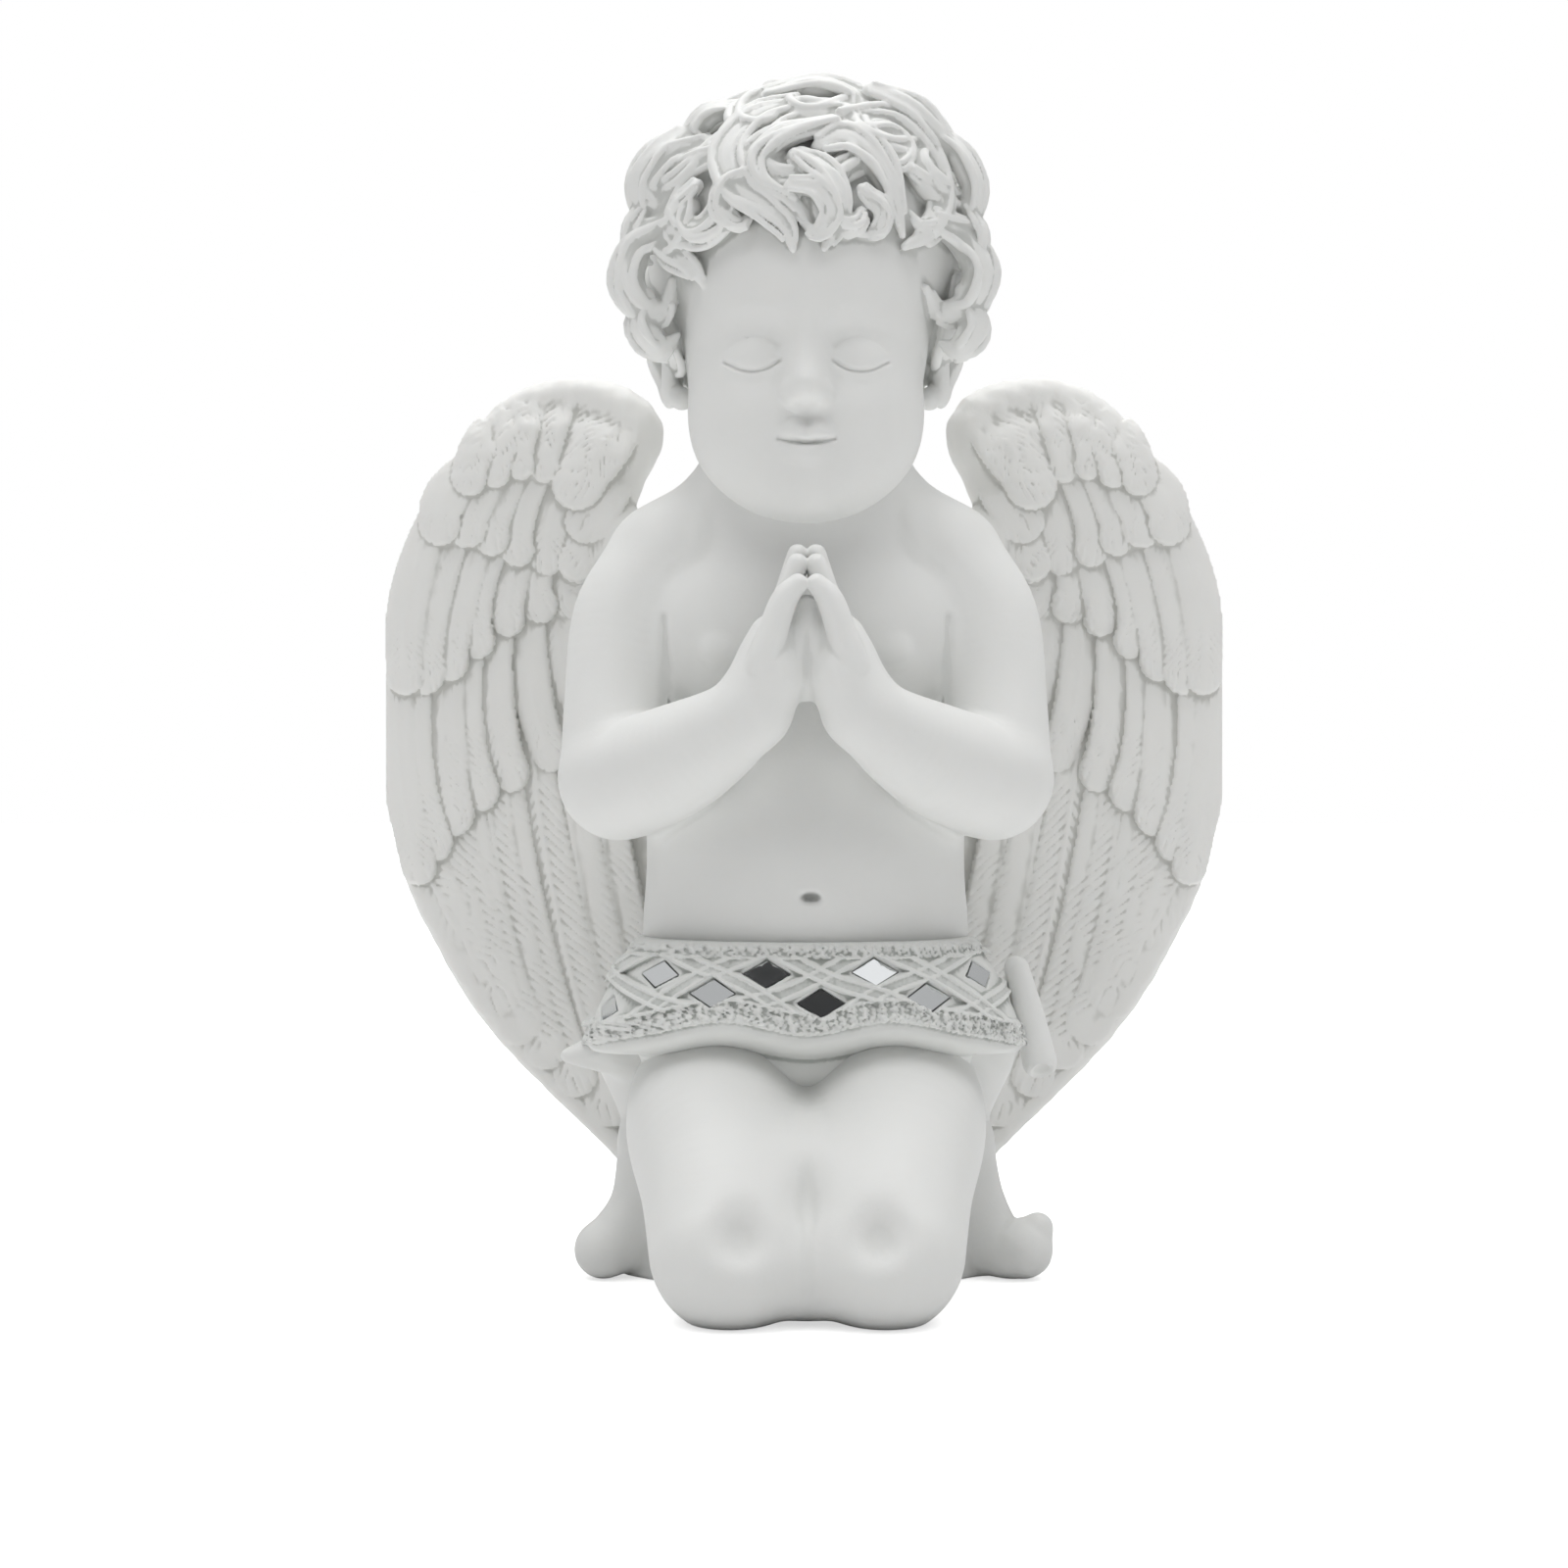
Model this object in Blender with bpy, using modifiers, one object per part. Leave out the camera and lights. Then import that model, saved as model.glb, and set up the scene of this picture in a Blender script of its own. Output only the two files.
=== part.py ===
"""Kneeling cherub with praying hands and spread wings, a small figurine of white cast resin.

The cherub is one casting: child, hair, loincloth, falling cloth and wings. Its forms are balls, limbs
of changing thickness and lofts, run together and thinned to one faceted solid. Small mirror chips
sit in pockets of the loincloth's band, and each chip is a piece of its own.
Metres, +Z up. The origin is on the table under the middle of the figurine, which looks towards -Y.
"""
import math

import bmesh
import bpy
import numpy as np
from mathutils import Euler, Matrix, Vector

# Driving sizes, in metres
STATUE_HEIGHT = 0.230
CHIP_LENGTH = 0.0084
CHIP_HEIGHT = 0.0052
CHIP_THICKNESS = 0.0010
CHIP_GAP = 0.0003
CHIP_SINK = 0.0004

# The casting keeps its pose and carving as shares of its height: a unit is a 230th part of it.
# Every place and radius below is in units, from the middle of the base.
UNIT = STATUE_HEIGHT / 230
GRAIN = 0.95
CAST_FACES = 9300
SMOOTHING_PASSES = 3

# Band of the loincloth: heights of its rims, and half width, front and back reach up its height
BAND_TOP = 66.0
BAND_LOW = 45.0
BAND_HEIGHTS = [40, 46, 52, 60, 66]
BAND_HALF = [37.0, 41.5, 39.7, 35.8, 31.5]
BAND_FRONT = [24.0, 28.5, 28.8, 25.8, 22.8]
BAND_BACK = [28.0, 30.0, 29.5, 28.5, 27.0]
BAND_SQUARE = 2.5

# Cloth falling behind the legs to the table
FALL_HEIGHTS = [-3, 3, 12, 22, 30, 40, 48]
FALL_HALF = [37.0, 36.5, 35.0, 34.5, 35.5, 40.0, 42.0]
FALL_BACK = [35.0, 34.0, 31.0, 28.0, 26.0, 24.0, 23.0]
FALL_FRONT = [26.0, 25.0, 23.0, 21.0, 19.0, 17.0, 16.0]
FALL_MIDDLE = [20.0, 19.0, 17.0, 14.5, 12.5, 10.0, 8.0]
FALL_SQUARE = 2.3
FALL_PLEATS = 11
FALL_PLEAT_DEPTH = 0.045

# Lattice of raised strips on the band, with the chips in its fields. Heights on the band are shares
# from 0, at the top of its lower border, to 1, under its upper border.
LOWER_BORDER = 4.2
UPPER_BORDER = 2.6
LATTICE_MIDDLE = 2.6
LATTICE_PITCH = 19.8
LATTICE_END = 38.0
LOWER_ROW = 0.16
UPPER_ROW = 0.68
STRIP_RADIUS = 1.15
CHIP_COUNT = 8

# Rows of feather tips on a wing, outer end, middle and inner end, as (outward, up). The first row is
# only the crest that the next one hangs from.
FEATHER_TIPS = [
    [(60, 169), (50, 172), (36, 168)],
    [(66.5, 158), (55, 157), (42, 155)],
    [(74.5, 146), (60, 144), (45, 141)],
    [(80.8, 117), (66, 124), (47, 132)],
    [(78.3, 80), (66, 92), (42, 109)],
    [(71.5, 70), (55, 44.5), (23, 20)],
]
FEATHER_COUNTS = (0, 6, 6, 7, 7, 10)
FEATHER_HALVES = [0.0, 3.4, 4.0, 4.0, 4.3, 5.0]
SHOULDER_FEATHERS = [
    [(34, 170), (40, 164), (45, 155)],
    [(37, 159), (40, 153), (43, 147.5)],
    [(38, 150), (42, 145), (45, 139.5)],
]
SHOULDER_HALF = 5.0
FEATHER_FLATNESS = 0.4
ROW_STEP = 1.15

# A wing's leading edge as (outward, back, up, radius), and the ribs of its web as (outward, up, reach)
WING_CREST = [(66, 31.5, 162, 2.4), (59, 31.5, 170, 3.0), (48, 30.5, 173.2, 3.6), (38, 28.8, 170.5, 4.6),
              (33.5, 27.8, 165, 5.2), (36.5, 27, 156, 4.5), (38, 26, 148, 5.0), (30, 24, 136, 8.0),
              (20, 22, 122, 9.0)]
WING_EDGE = [(79.5, 84), (77.8, 75), (72.8, 64.5), (66.5, 53.5), (58.8, 43.5), (50, 34.5), (41, 26), (34, 19)]
WING_EDGE_RADIUS = 2.6
WING_WEB = [
    [(41, 163, 7), (50, 163, 9), (59, 150, 11), (67, 124, 12), (63, 96, 12), (53, 66, 12), (38, 42, 10),
     (26, 28, 8)],
    [(45, 158, 8), (42, 140, 10), (36, 122, 15), (30, 100, 19), (26, 70, 18), (22, 45, 13)],
]
WEB_FLATNESS = 0.11

# Hair: the mass that the locks lie on, its edge over the face and the nape, and the locks. The edge
# over the face is FACE_TOP high in the middle, and FACE_DROP lower at FACE_HALF to each side.
HAIR_MIDDLE = (0.0, 6.0, 195.5)
HAIR_RADII = (30.2, 30.0, 30.5)
FOREHEAD_MIDDLE = (0.0, -5.0, 186.0)
FOREHEAD_RADII = (22.0, 22.0, 21.0)
FACE_TOP = 203.0
FACE_HALF = 30.0
FACE_DROP = 16.2
HAIR_FOOT = 179.0
LOCK_COUNT = 64
LOCK_LENGTH = 31.0
LOCK_THICKNESS = 3.5
LOCK_POINTS = 10
GOLDEN_ANGLE = math.pi * (3 - math.sqrt(5))

# Locks round the forehead as they are seen from the front: (x, z) points, thickness and lift
FRONT_LOCKS = [
    ([(-1, 220), (-9, 217), (-14, 210), (-12, 203), (-7, 199), (-3.5, 195.5), (-2.5, 191.5)], 3.4, 3.0),
    ([(5, 216), (-4, 213), (-9, 208.5), (-8, 203.5), (-2.5, 200), (0.5, 196)], 3.0, 4.2),
    ([(-2, 209), (2.5, 205.5), (5.5, 201.5), (5, 196.5), (3.2, 191.6)], 3.1, 3.2),
    ([(2.5, 211), (7, 212.5), (12, 209), (15.5, 203), (17.6, 195.5)], 3.2, 2.6),
    ([(6, 217), (15, 218), (21.5, 212), (24.5, 203.5), (22.5, 197), (18, 193.5)], 3.7, 3.0),
    ([(-14, 211), (-22, 208), (-26, 200.5), (-25, 194.5), (-21, 190.5), (-18.8, 186.8)], 3.3, 2.4),
    ([(23, 199), (28.5, 197), (32, 191), (29.7, 184.5), (24.5, 183.5), (22.2, 187)], 3.6, 2.2),
    ([(-25, 199), (-31, 196), (-33, 189), (-30, 183.5), (-26, 184), (-25, 189)], 3.6, 2.2),
    ([(-29.8, 186), (-30.3, 180.5), (-27, 176.5), (-24, 179)], 3.1, 1.6),
    ([(29.3, 187), (31.2, 181), (28.4, 176.5), (25.3, 177.5)], 3.1, 1.6),
    ([(-18, 214), (-25, 212), (-29, 206), (-25, 202), (-22, 206)], 3.1, 2.4),
    ([(-7, 223), (2, 224.6), (9, 222), (9, 217.5), (4, 217)], 3.2, 2.0),
    ([(12, 224), (20, 220), (25, 214), (22.5, 210.5)], 3.3, 2.2),
    ([(-22.5, 216.5), (-27.5, 212.5), (-30.8, 206.5), (-29.5, 201), (-26, 202.5)], 2.9, 1.4),
    ([(22.5, 217), (27.8, 213), (31, 207), (30, 201), (26.5, 202)], 2.9, 1.4),
    ([(-29.5, 204), (-32, 199), (-31.8, 194), (-29, 192.5)], 2.5, 1.2),
    ([(29.5, 203), (32, 198), (31.5, 193), (29, 192)], 2.5, 1.2),
]


def smooth_path(rows, steps=5):
    """Catmull-Rom curve through rows of numbers, such as x, y, z and radius."""
    rows = np.asarray(rows, float)
    if len(rows) < 3:
        return rows
    padded = np.vstack([2 * rows[0] - rows[1], rows, 2 * rows[-1] - rows[-2]])
    before, start, end, after = padded[:-3], padded[1:-2], padded[2:-1], padded[3:]
    path = []
    for t in np.linspace(0, 1, steps, endpoint=False):
        path.append(0.5 * (2 * start + (end - before) * t
                           + (2 * before - 5 * start + 4 * end - after) * t ** 2
                           + (3 * start - before - 3 * end + after) * t ** 3))
    path = np.stack(path, 1).reshape(-1, rows.shape[1])
    return np.vstack([path, rows[-1]])


def bezier(start, bend, end, steps=9):
    """Points of the quadratic curve from start to end, pulled towards bend."""
    t = np.linspace(0, 1, steps)[:, None]
    return (1 - t) ** 2 * np.array(start) + 2 * t * (1 - t) * np.array(bend) + t ** 2 * np.array(end)


def through(three, t):
    """Point at t, from 0 to 1, of the parabola through three points."""
    first, middle, last = (np.array(p, float) for p in three)
    return first * (2 * (t - 0.5) * (t - 1)) + middle * (4 * t * (1 - t)) + last * (2 * t * (t - 0.5))


class Casting:
    """Gathers the overlapping forms of the casting, each one a closed mesh."""

    def __init__(self, collection):
        self.collection = collection
        self.forms = []
        sphere = bmesh.new()
        bmesh.ops.create_uvsphere(sphere, u_segments=24, v_segments=16, radius=UNIT)
        self.unit_ball = closed_mesh("unit_ball", sphere)

    def ball(self, centre, radii, turn=(0, 0, 0)):
        """A stretched sphere, turned about X, Y and Z in degrees."""
        place = Matrix.Translation(Vector(centre) * UNIT)
        place @= Euler([math.radians(angle) for angle in turn]).to_matrix().to_4x4()
        place @= Matrix.Diagonal([*radii, 1])
        form = self.unit_ball.copy()
        form.transform(place)
        self.forms.append(form)

    def limbs(self, paths, flatness=1.0, steps=5):
        """Round tubes along paths of (x, y, z, radius) with ball ends, squeezed along Y by flatness."""
        data = bpy.data.curves.new("limbs", "CURVE")
        data.dimensions = "3D"
        data.bevel_depth = UNIT
        data.bevel_resolution = 3
        data.use_fill_caps = True
        for path in paths:
            rows = smooth_path(path, steps)
            spline = data.splines.new("POLY")
            spline.points.add(len(rows) - 1)
            for point, (x, y, z, radius) in zip(spline.points, rows):
                point.co = (x * UNIT, y / flatness * UNIT, z * UNIT, 1)
                point.radius = radius
        tube = bpy.data.objects.new("limbs", data)
        tube.scale = (1, flatness, 1)
        self.collection.objects.link(tube)
        graph = bpy.context.evaluated_depsgraph_get()
        skin = bpy.data.meshes.new_from_object(tube.evaluated_get(graph))
        skin.transform(tube.matrix_world)
        mesh = bmesh.new()
        mesh.from_mesh(skin)
        bmesh.ops.remove_doubles(mesh, verts=mesh.verts, dist=0.0001 * UNIT)
        self.forms.append(closed_mesh("limbs", mesh))
        bpy.data.objects.remove(tube)
        for path in paths:
            for x, y, z, radius in (path[0], path[-1]):
                self.ball((x, y, z), (radius, radius * flatness, radius))

    def loft(self, rings):
        """Closed skin over level rings of equally many points, from the lowest to the highest."""
        mesh = bmesh.new()
        loops = [[mesh.verts.new(Vector(point) * UNIT) for point in ring] for ring in rings]
        for low, high in zip(loops, loops[1:]):
            for i, vert in enumerate(low):
                mesh.faces.new((low[i - 1], vert, high[i], high[i - 1]))
        mesh.faces.new(loops[0][::-1])
        mesh.faces.new(loops[-1])
        self.forms.append(closed_mesh("loft", mesh))

    def gathered(self):
        """One mesh that holds every form."""
        whole = bmesh.new()
        for form in self.forms:
            whole.from_mesh(form)
            bpy.data.meshes.remove(form)
        data = bpy.data.meshes.new("angel")
        whole.to_mesh(data)
        whole.free()
        return data


def closed_mesh(name, mesh):
    """Mesh data of a closed form, its faces turned outwards."""
    bmesh.ops.recalc_face_normals(mesh, faces=mesh.faces)
    data = bpy.data.meshes.new(name)
    mesh.to_mesh(data)
    mesh.free()
    return data


def mirrored(path):
    """The path on the cherub's other side."""
    return [(-x, *rest) for x, *rest in path]


def both_sides(cast, centre, radii, turn=(0, 0, 0)):
    """The same ball left and right of the middle."""
    x, y, z = centre
    about_x, about_y, about_z = turn
    cast.ball((x, y, z), radii, turn)
    cast.ball((-x, y, z), radii, (about_x, -about_y, -about_z))


def make_torso(cast):
    """Chest, belly, hips, shoulders and neck."""
    cast.ball((0, 6, 120), (29.5, 20, 27))
    cast.ball((0, 4, 92), (29.8, 23.5, 29))
    cast.ball((0, 3, 80), (29.5, 24.5, 21))
    cast.ball((0, 4, 68), (31, 23.5, 20))
    cast.ball((0, 9, 54), (33, 26, 20))
    both_sides(cast, (14, 8, 139), (18, 12, 9.5), (0, 18, 0))
    both_sides(cast, (13, -7, 124), (14, 8.5, 13))
    slope = [(13, 9, 151.5, 7), (27, 9.5, 140.5, 8)]
    cast.limbs([[(0, 5, 138, 18), (0, 4, 160, 17.5)], slope, mirrored(slope)])


def make_arms(cast):
    """Upper arms, forearms, palms, fingers and thumbs, hands laid together in prayer."""
    upper = [(26.5, 7, 135.5, 12.3), (33, 3, 126, 11.6), (35.4, -3, 110, 10.3), (35, -8, 97, 11)]
    fore = [(35, -9, 95.5, 11), (24, -21, 98.5, 10.8), (14, -30, 104, 8.6), (9, -32.5, 109.5, 6.4)]
    palm = [(9.2, -32.5, 108, 5.8), (7, -32, 115, 5.3), (4.8, -31, 121, 4.2)]
    thumb = [(6.5, -24, 110, 3.6), (4.6, -22.5, 116, 3.0), (2.6, -22.5, 123, 2.5)]
    fingers = [[(6.2, y + 0.5, 117, 2.6), (4.5, y, 124, 2.5), (2.2, y, tip, 2.3)]
               for y, tip in ((-36.3, 130), (-32.4, 133.6), (-28.2, 135.2), (-24.2, 133.6))]
    paths = [upper, fore, palm, thumb] + fingers
    cast.limbs(paths + [mirrored(path) for path in paths])
    both_sides(cast, (6, -29, 116), (4.2, 8, 8.5), (0, -18, 0))


def make_legs(cast):
    """Thighs, knees on the table, shins and feet behind."""
    thigh = [(15.8, 4, 35, 17.5), (15.9, -14, 31.2, 17.4), (14.2, -29, 22.5, 15.7), (13.6, -39.5, 12.8, 14.3)]
    shin = [(13.6, -36, 10.5, 12.2), (15.5, -10, 8, 10.5), (15, 24, 7, 8.5)]
    foot = [(14.5, 30, 7, 8), (12, 42, 7.5, 7), (10, 49, 6.5, 5.6)]
    paths = [thigh, shin, foot]
    cast.limbs(paths + [mirrored(path) for path in paths])


def make_head(cast):
    """Skull, cheeks, chin and ears, with a calm child's face whose eyes are closed."""
    cast.ball((0, 4, 189), (24.6, 28, 27.5))
    cast.ball(FOREHEAD_MIDDLE, FOREHEAD_RADII)
    cast.ball((0, -4, 170), (21.7, 21.5, 22))
    both_sides(cast, (10.1, -13, 161), (11.0, 11.2, 13))
    cast.ball((0, -12, 153), (12.5, 13, 9.8))
    both_sides(cast, (9.4, -20.6, 172.4), (5.6, 4.8, 4.4))
    lips = [(-5.4, -23.6, 157.4, 1.2), (0, -25.6, 158.2, 1.8), (5.4, -23.6, 157.4, 1.2)]
    lower_lip = [(-4, -23.2, 155.6, 1.2), (0, -24.8, 154.8, 1.9), (4, -23.2, 155.6, 1.2)]
    nose = [(0, -24.6, 178, 2.4), (0, -27.2, 171.5, 2.4), (0, -29.6, 166.2, 3.1)]
    ear = [(25.5, -1, 178.5, 1.8), (28, 2, 180, 1.9), (28.8, 5, 176.5, 2), (26.6, 4, 171.5, 2), (23.6, 0.5, 168.4, 2.3)]
    cast.limbs([lips, lower_lip, nose, ear, mirrored(ear)])
    both_sides(cast, (2.9, -27.6, 165.4), (2.4, 2.6, 2.1))
    both_sides(cast, (26, 4, 174), (2.4, 4, 5.5))


def hair_frame(direction, lift):
    """Point on the hair's mass in a direction, raised by lift, with two level vectors along the surface."""
    middle, radii = np.array(HAIR_MIDDLE), np.array(HAIR_RADII)
    point = middle + direction * (radii + lift)
    normal = direction / radii
    normal /= np.linalg.norm(normal)
    across = np.cross((0.0, 0.3, 1.0), normal)
    across /= np.linalg.norm(across)
    return point, across, np.cross(normal, across)


def lock_of_hair(direction, heading, hand, size):
    """A lock on the hair's mass that winds in ever faster towards its tip: its path with its thickness."""
    _, across, up = hair_frame(direction, 0)
    middle, radii = np.array(HAIR_MIDDLE), np.array(HAIR_RADII)
    step = LOCK_LENGTH * size / LOCK_POINTS
    flat = -2.5 * step * np.array((math.cos(heading), math.sin(heading)))
    path = []
    for t in np.linspace(0, 1, LOCK_POINTS):
        point = middle + direction * radii + flat[0] * across + flat[1] * up
        outward = (point - middle) / radii
        outward /= np.linalg.norm(outward)
        point = middle + outward * (radii + 0.3 + 1.8 * t)
        path.append((*point, LOCK_THICKNESS * size * (0.75 + 0.35 * math.sin(math.pi * t) - 0.35 * t ** 3)))
        angle = heading + hand * (0.5 * t + 4.2 * t * t)
        flat = flat + step * (1 - 0.45 * t) * np.array((math.cos(angle), math.sin(angle)))
    return path


def on_the_face(point):
    """Whether a lock there would cover the face, the ears or the neck."""
    x, y, z = point
    before_face = y < -6 and z < FACE_TOP - FACE_DROP * (x / FACE_HALF) ** 2
    below_hair = z < HAIR_FOOT - 0.55 * max(y, 0)
    return before_face or below_hair


def front_of_head(x, z, lift):
    """How far forward the hair's mass or the forehead comes at x and z, and lift more."""
    nearest = STATUE_HEIGHT / UNIT
    for (cx, cy, cz), (rx, ry, rz) in ((HAIR_MIDDLE, HAIR_RADII), (FOREHEAD_MIDDLE, FOREHEAD_RADII)):
        inside = 1 - ((x - cx) / rx) ** 2 - ((z - cz) / rz) ** 2
        nearest = min(nearest, cy - ry * math.sqrt(max(inside, 0.02)))
    return nearest - lift


def make_hair(cast):
    """Thick short curls: a rounded mass, locks spread evenly over it, and locks round the forehead."""
    cast.ball(HAIR_MIDDLE, HAIR_RADII)
    cast.ball((0, 14, 183), (27.4, 24, 20))
    cast.ball((0, 15, 174), (22, 16, 13))
    locks = []
    for i in range(LOCK_COUNT):
        height = 1 - 2 * (i + 0.5) / LOCK_COUNT
        around = i * GOLDEN_ANGLE
        level = math.sqrt(1 - height * height)
        direction = np.array((level * math.sin(around), -level * math.cos(around), height))
        if on_the_face(hair_frame(direction, 0)[0]):
            continue
        size = 0.85 + 0.3 * (i * 0.37 % 1)
        locks.append(lock_of_hair(direction, -math.pi / 2 + math.sin(2.3 * i), 1 if i % 2 else -1, size))
    for line, thickness, lift in FRONT_LOCKS:
        lock = []
        for i, (x, z) in enumerate(line):
            share = i / (len(line) - 1)
            radius = thickness * (0.75 + 0.45 * math.sin(math.pi * share ** 0.8) - 0.45 * share ** 3)
            lock.append((x, front_of_head(x, z, 0.3 + lift * (1 - 0.55 * share)), z, radius))
        locks.append(lock)
    cast.limbs(locks, steps=3)


def band_reach(height, y_side):
    """Half width of the band at a height, and its reach to the front (y_side below 0) or the back."""
    half = np.interp(height, BAND_HEIGHTS, BAND_HALF)
    reach = np.interp(height, BAND_HEIGHTS, BAND_FRONT if y_side < 0 else BAND_BACK)
    return half, reach


def squared_ring(half, front, back, middle, height, square, pleats=None):
    """Level ring of points on a rounded oblong; pleats gives a factor for each angle."""
    points = []
    for angle in np.linspace(0, 2 * math.pi, 96, endpoint=False):
        c, s = math.cos(angle), math.sin(angle)
        size = (abs(c) ** square + abs(s) ** square) ** (-1 / square)
        if pleats is not None:
            size *= pleats(angle)
        points.append((half * size * c, middle + (front if s < 0 else back) * size * s, height))
    return points


def make_loincloth(cast):
    """Band of cloth round the hips with a bead along each rim, and the lap under it."""
    rings = []
    for height in np.linspace(BAND_LOW, BAND_TOP, 10):
        half, front = band_reach(height, -1)
        rings.append(squared_ring(half, front, band_reach(height, 1)[1], 0, height, BAND_SQUARE))
    cast.loft(rings)
    cast.ball((0, -6, 43), (31, 15.5, 9))
    cast.limbs([[(x, *on_band(x, rim_height(x), 0.3)[1:], 1.8) for x in np.linspace(-41, 41, 21)],
                [(x, *on_band(x, BAND_TOP - 1.6, 0.0)[1:], 1.6) for x in np.linspace(-31, 31, 15)]], steps=2)


def rim_height(x):
    """Height of the band's scalloped lower rim at x: it lifts over each thigh."""
    return 49.6 + 2.3 * math.sin(math.pi * min(abs(x), 30) / 30) ** 2 - 0.03 * max(abs(x) - 24, 0) ** 1.7


def on_band(x, z, lift):
    """Point on the band's front at x and height z, raised by lift from the surface."""
    half, reach = band_reach(z, -1)
    share = min(abs(x) / half, 0.995)
    y = -reach * (1 - share ** BAND_SQUARE) ** (1 / BAND_SQUARE)
    point, normal = Vector((x, y, z)), band_normal(x, z)
    return point + normal * lift


def band_normal(x, z):
    """Outward direction of the band's front at x and height z."""
    step = 0.5

    def depth(x_at, z_at):
        half, reach = band_reach(z_at, -1)
        share = min(abs(x_at) / half, 0.995)
        return -reach * (1 - share ** BAND_SQUARE) ** (1 / BAND_SQUARE)

    slope_x = (depth(x + step, z) - depth(x - step, z)) / (2 * step)
    slope_z = (depth(x, z + step) - depth(x, z - step)) / (2 * step)
    return Vector((slope_x, -1, slope_z)).normalized()


def lattice_height(x, share):
    """Height on the band at x, from share 0 at the top of its lower border to 1 under its upper one."""
    low = rim_height(x) + LOWER_BORDER
    return low + share * (BAND_TOP - UPPER_BORDER - low)


def make_lattice(cast):
    """Raised strips that cross between the chips, slanting both ways from border to border."""
    strips = []
    for i in range(-3, 4):
        crossing = LATTICE_MIDDLE + i * LATTICE_PITCH
        for lean in (-1, 1):
            strip = []
            for share in np.linspace(0, 1, 6):
                x = crossing + lean * (share - UPPER_ROW) * LATTICE_PITCH / 2 / (UPPER_ROW - LOWER_ROW)
                if abs(x) < LATTICE_END:
                    strip.append((*on_band(x, lattice_height(x, share), 0.25), STRIP_RADIUS))
            if len(strip) > 1:
                strips.append(strip)
    cast.limbs(strips, steps=1)


def make_falling_cloth(cast):
    """Cloth that falls from the hips to the table behind the legs, with scrolled corners."""
    rings = []
    for row in zip(FALL_HEIGHTS, FALL_HALF, FALL_FRONT, FALL_BACK, FALL_MIDDLE):
        height, half, front, back, middle = row
        fade = min(1.0, (52 - height) / 40)

        def pleats(angle):
            if math.sin(angle) < 0:
                return 1.0
            return 1 + FALL_PLEAT_DEPTH * fade * math.sin(angle) * math.cos(FALL_PLEATS * angle)

        rings.append(squared_ring(half, front, back, middle, height, FALL_SQUARE, pleats))
    cast.loft(rings)
    corner = [(-33, 2, 44, 5.0), (-39, -2, 44.0, 3.6), (-45, -3, 43.6, 1.4)]
    roll = [(40, -2, 60, 2.4), (42.3, -3.5, 51, 2.9), (44.2, -4.5, 42.5, 3.3)]
    right_scroll = [(31.5, 9, 25, 4.5), (34.0, 7.5, 15, 4.4), (37.5, 6, 6.2, 5.4), (41.8, 4.5, 5.8, 5.7)]
    right_lip = [(42, 4.5, 6.5, 5.4), (44.6, 4.2, 9.8, 3.0)]
    left_scroll = [(-31, 9, 25, 4.5), (-33, 7.5, 15, 4.3), (-35.8, 6, 8.5, 5.4), (-38.8, 5, 5.6, 5.6)]
    cast.limbs([corner, roll, right_scroll, right_lip, left_scroll])


def wing_depth(out, up):
    """How far behind the middle a wing's plane lies: it sweeps back outwards and towards its foot."""
    return 27.5 + 0.15 * (out - 15) + 0.06 * max(60 - up, 0)


def feather_lines():
    """Every feather of a wing: how far its row stands forward, its midline and its half width."""
    rows = len(FEATHER_TIPS)
    for row in range(1, rows):
        flight = row == rows - 1
        for i in range(FEATHER_COUNTS[row]):
            t = i / (FEATHER_COUNTS[row] - 1)
            tip = through(FEATHER_TIPS[row], t)
            above = through(FEATHER_TIPS[row - 1], t)
            beyond = 0.12 if flight else 0.0 if row == 1 else 0.25
            root = above + (above - tip) * beyond
            bow = np.array((1.0, -0.5)) * (1.5 + 5 * t) if flight else np.array((1.6, 0.5))
            yield ROW_STEP * (rows - row), bezier(root, (root + tip) / 2 + bow, tip), FEATHER_HALVES[row]
    for number, line in enumerate(SHOULDER_FEATHERS):
        yield ROW_STEP * (rows + 0.6 - 0.4 * number), bezier(*line), SHOULDER_HALF


def make_wings(cast):
    """Two wings that open sideways from the shoulder blades: feathers as flat tubes, row on row like
    shingles, with a web under them and a rounded leading edge."""
    for side in (-1, 1):
        feathers = []
        for forward, line, half in feather_lines():
            feather = []
            for j, (out, up) in enumerate(line):
                share = j / (len(line) - 1)
                width = half * (0.75 + 0.35 * math.sin(math.pi * min(share * 1.15, 1) / 1.3))
                feather.append((side * out, wing_depth(out, up) - forward - 1.2 * share, up, width))
            feathers.append(feather)
        cast.limbs(feathers, FEATHER_FLATNESS, steps=1)
        ribs = [[(side * out, wing_depth(out, up), up, reach) for out, up, reach in line] for line in WING_WEB]
        cast.limbs(ribs, WEB_FLATNESS)
        crest = [(side * out, back, up, radius) for out, back, up, radius in WING_CREST]
        edge = [(side * out, wing_depth(out, up), up, WING_EDGE_RADIUS) for out, up in WING_EDGE]
        cast.limbs([crest, edge])


def make_casting(collection):
    """The whole cherub as one closed solid."""
    cast = Casting(collection)
    for make in (make_torso, make_arms, make_legs, make_head, make_hair, make_loincloth, make_lattice,
                 make_falling_cloth, make_wings):
        make(cast)
    angel = bpy.data.objects.new("angel", cast.gathered())
    collection.objects.link(angel)
    return angel


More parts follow.
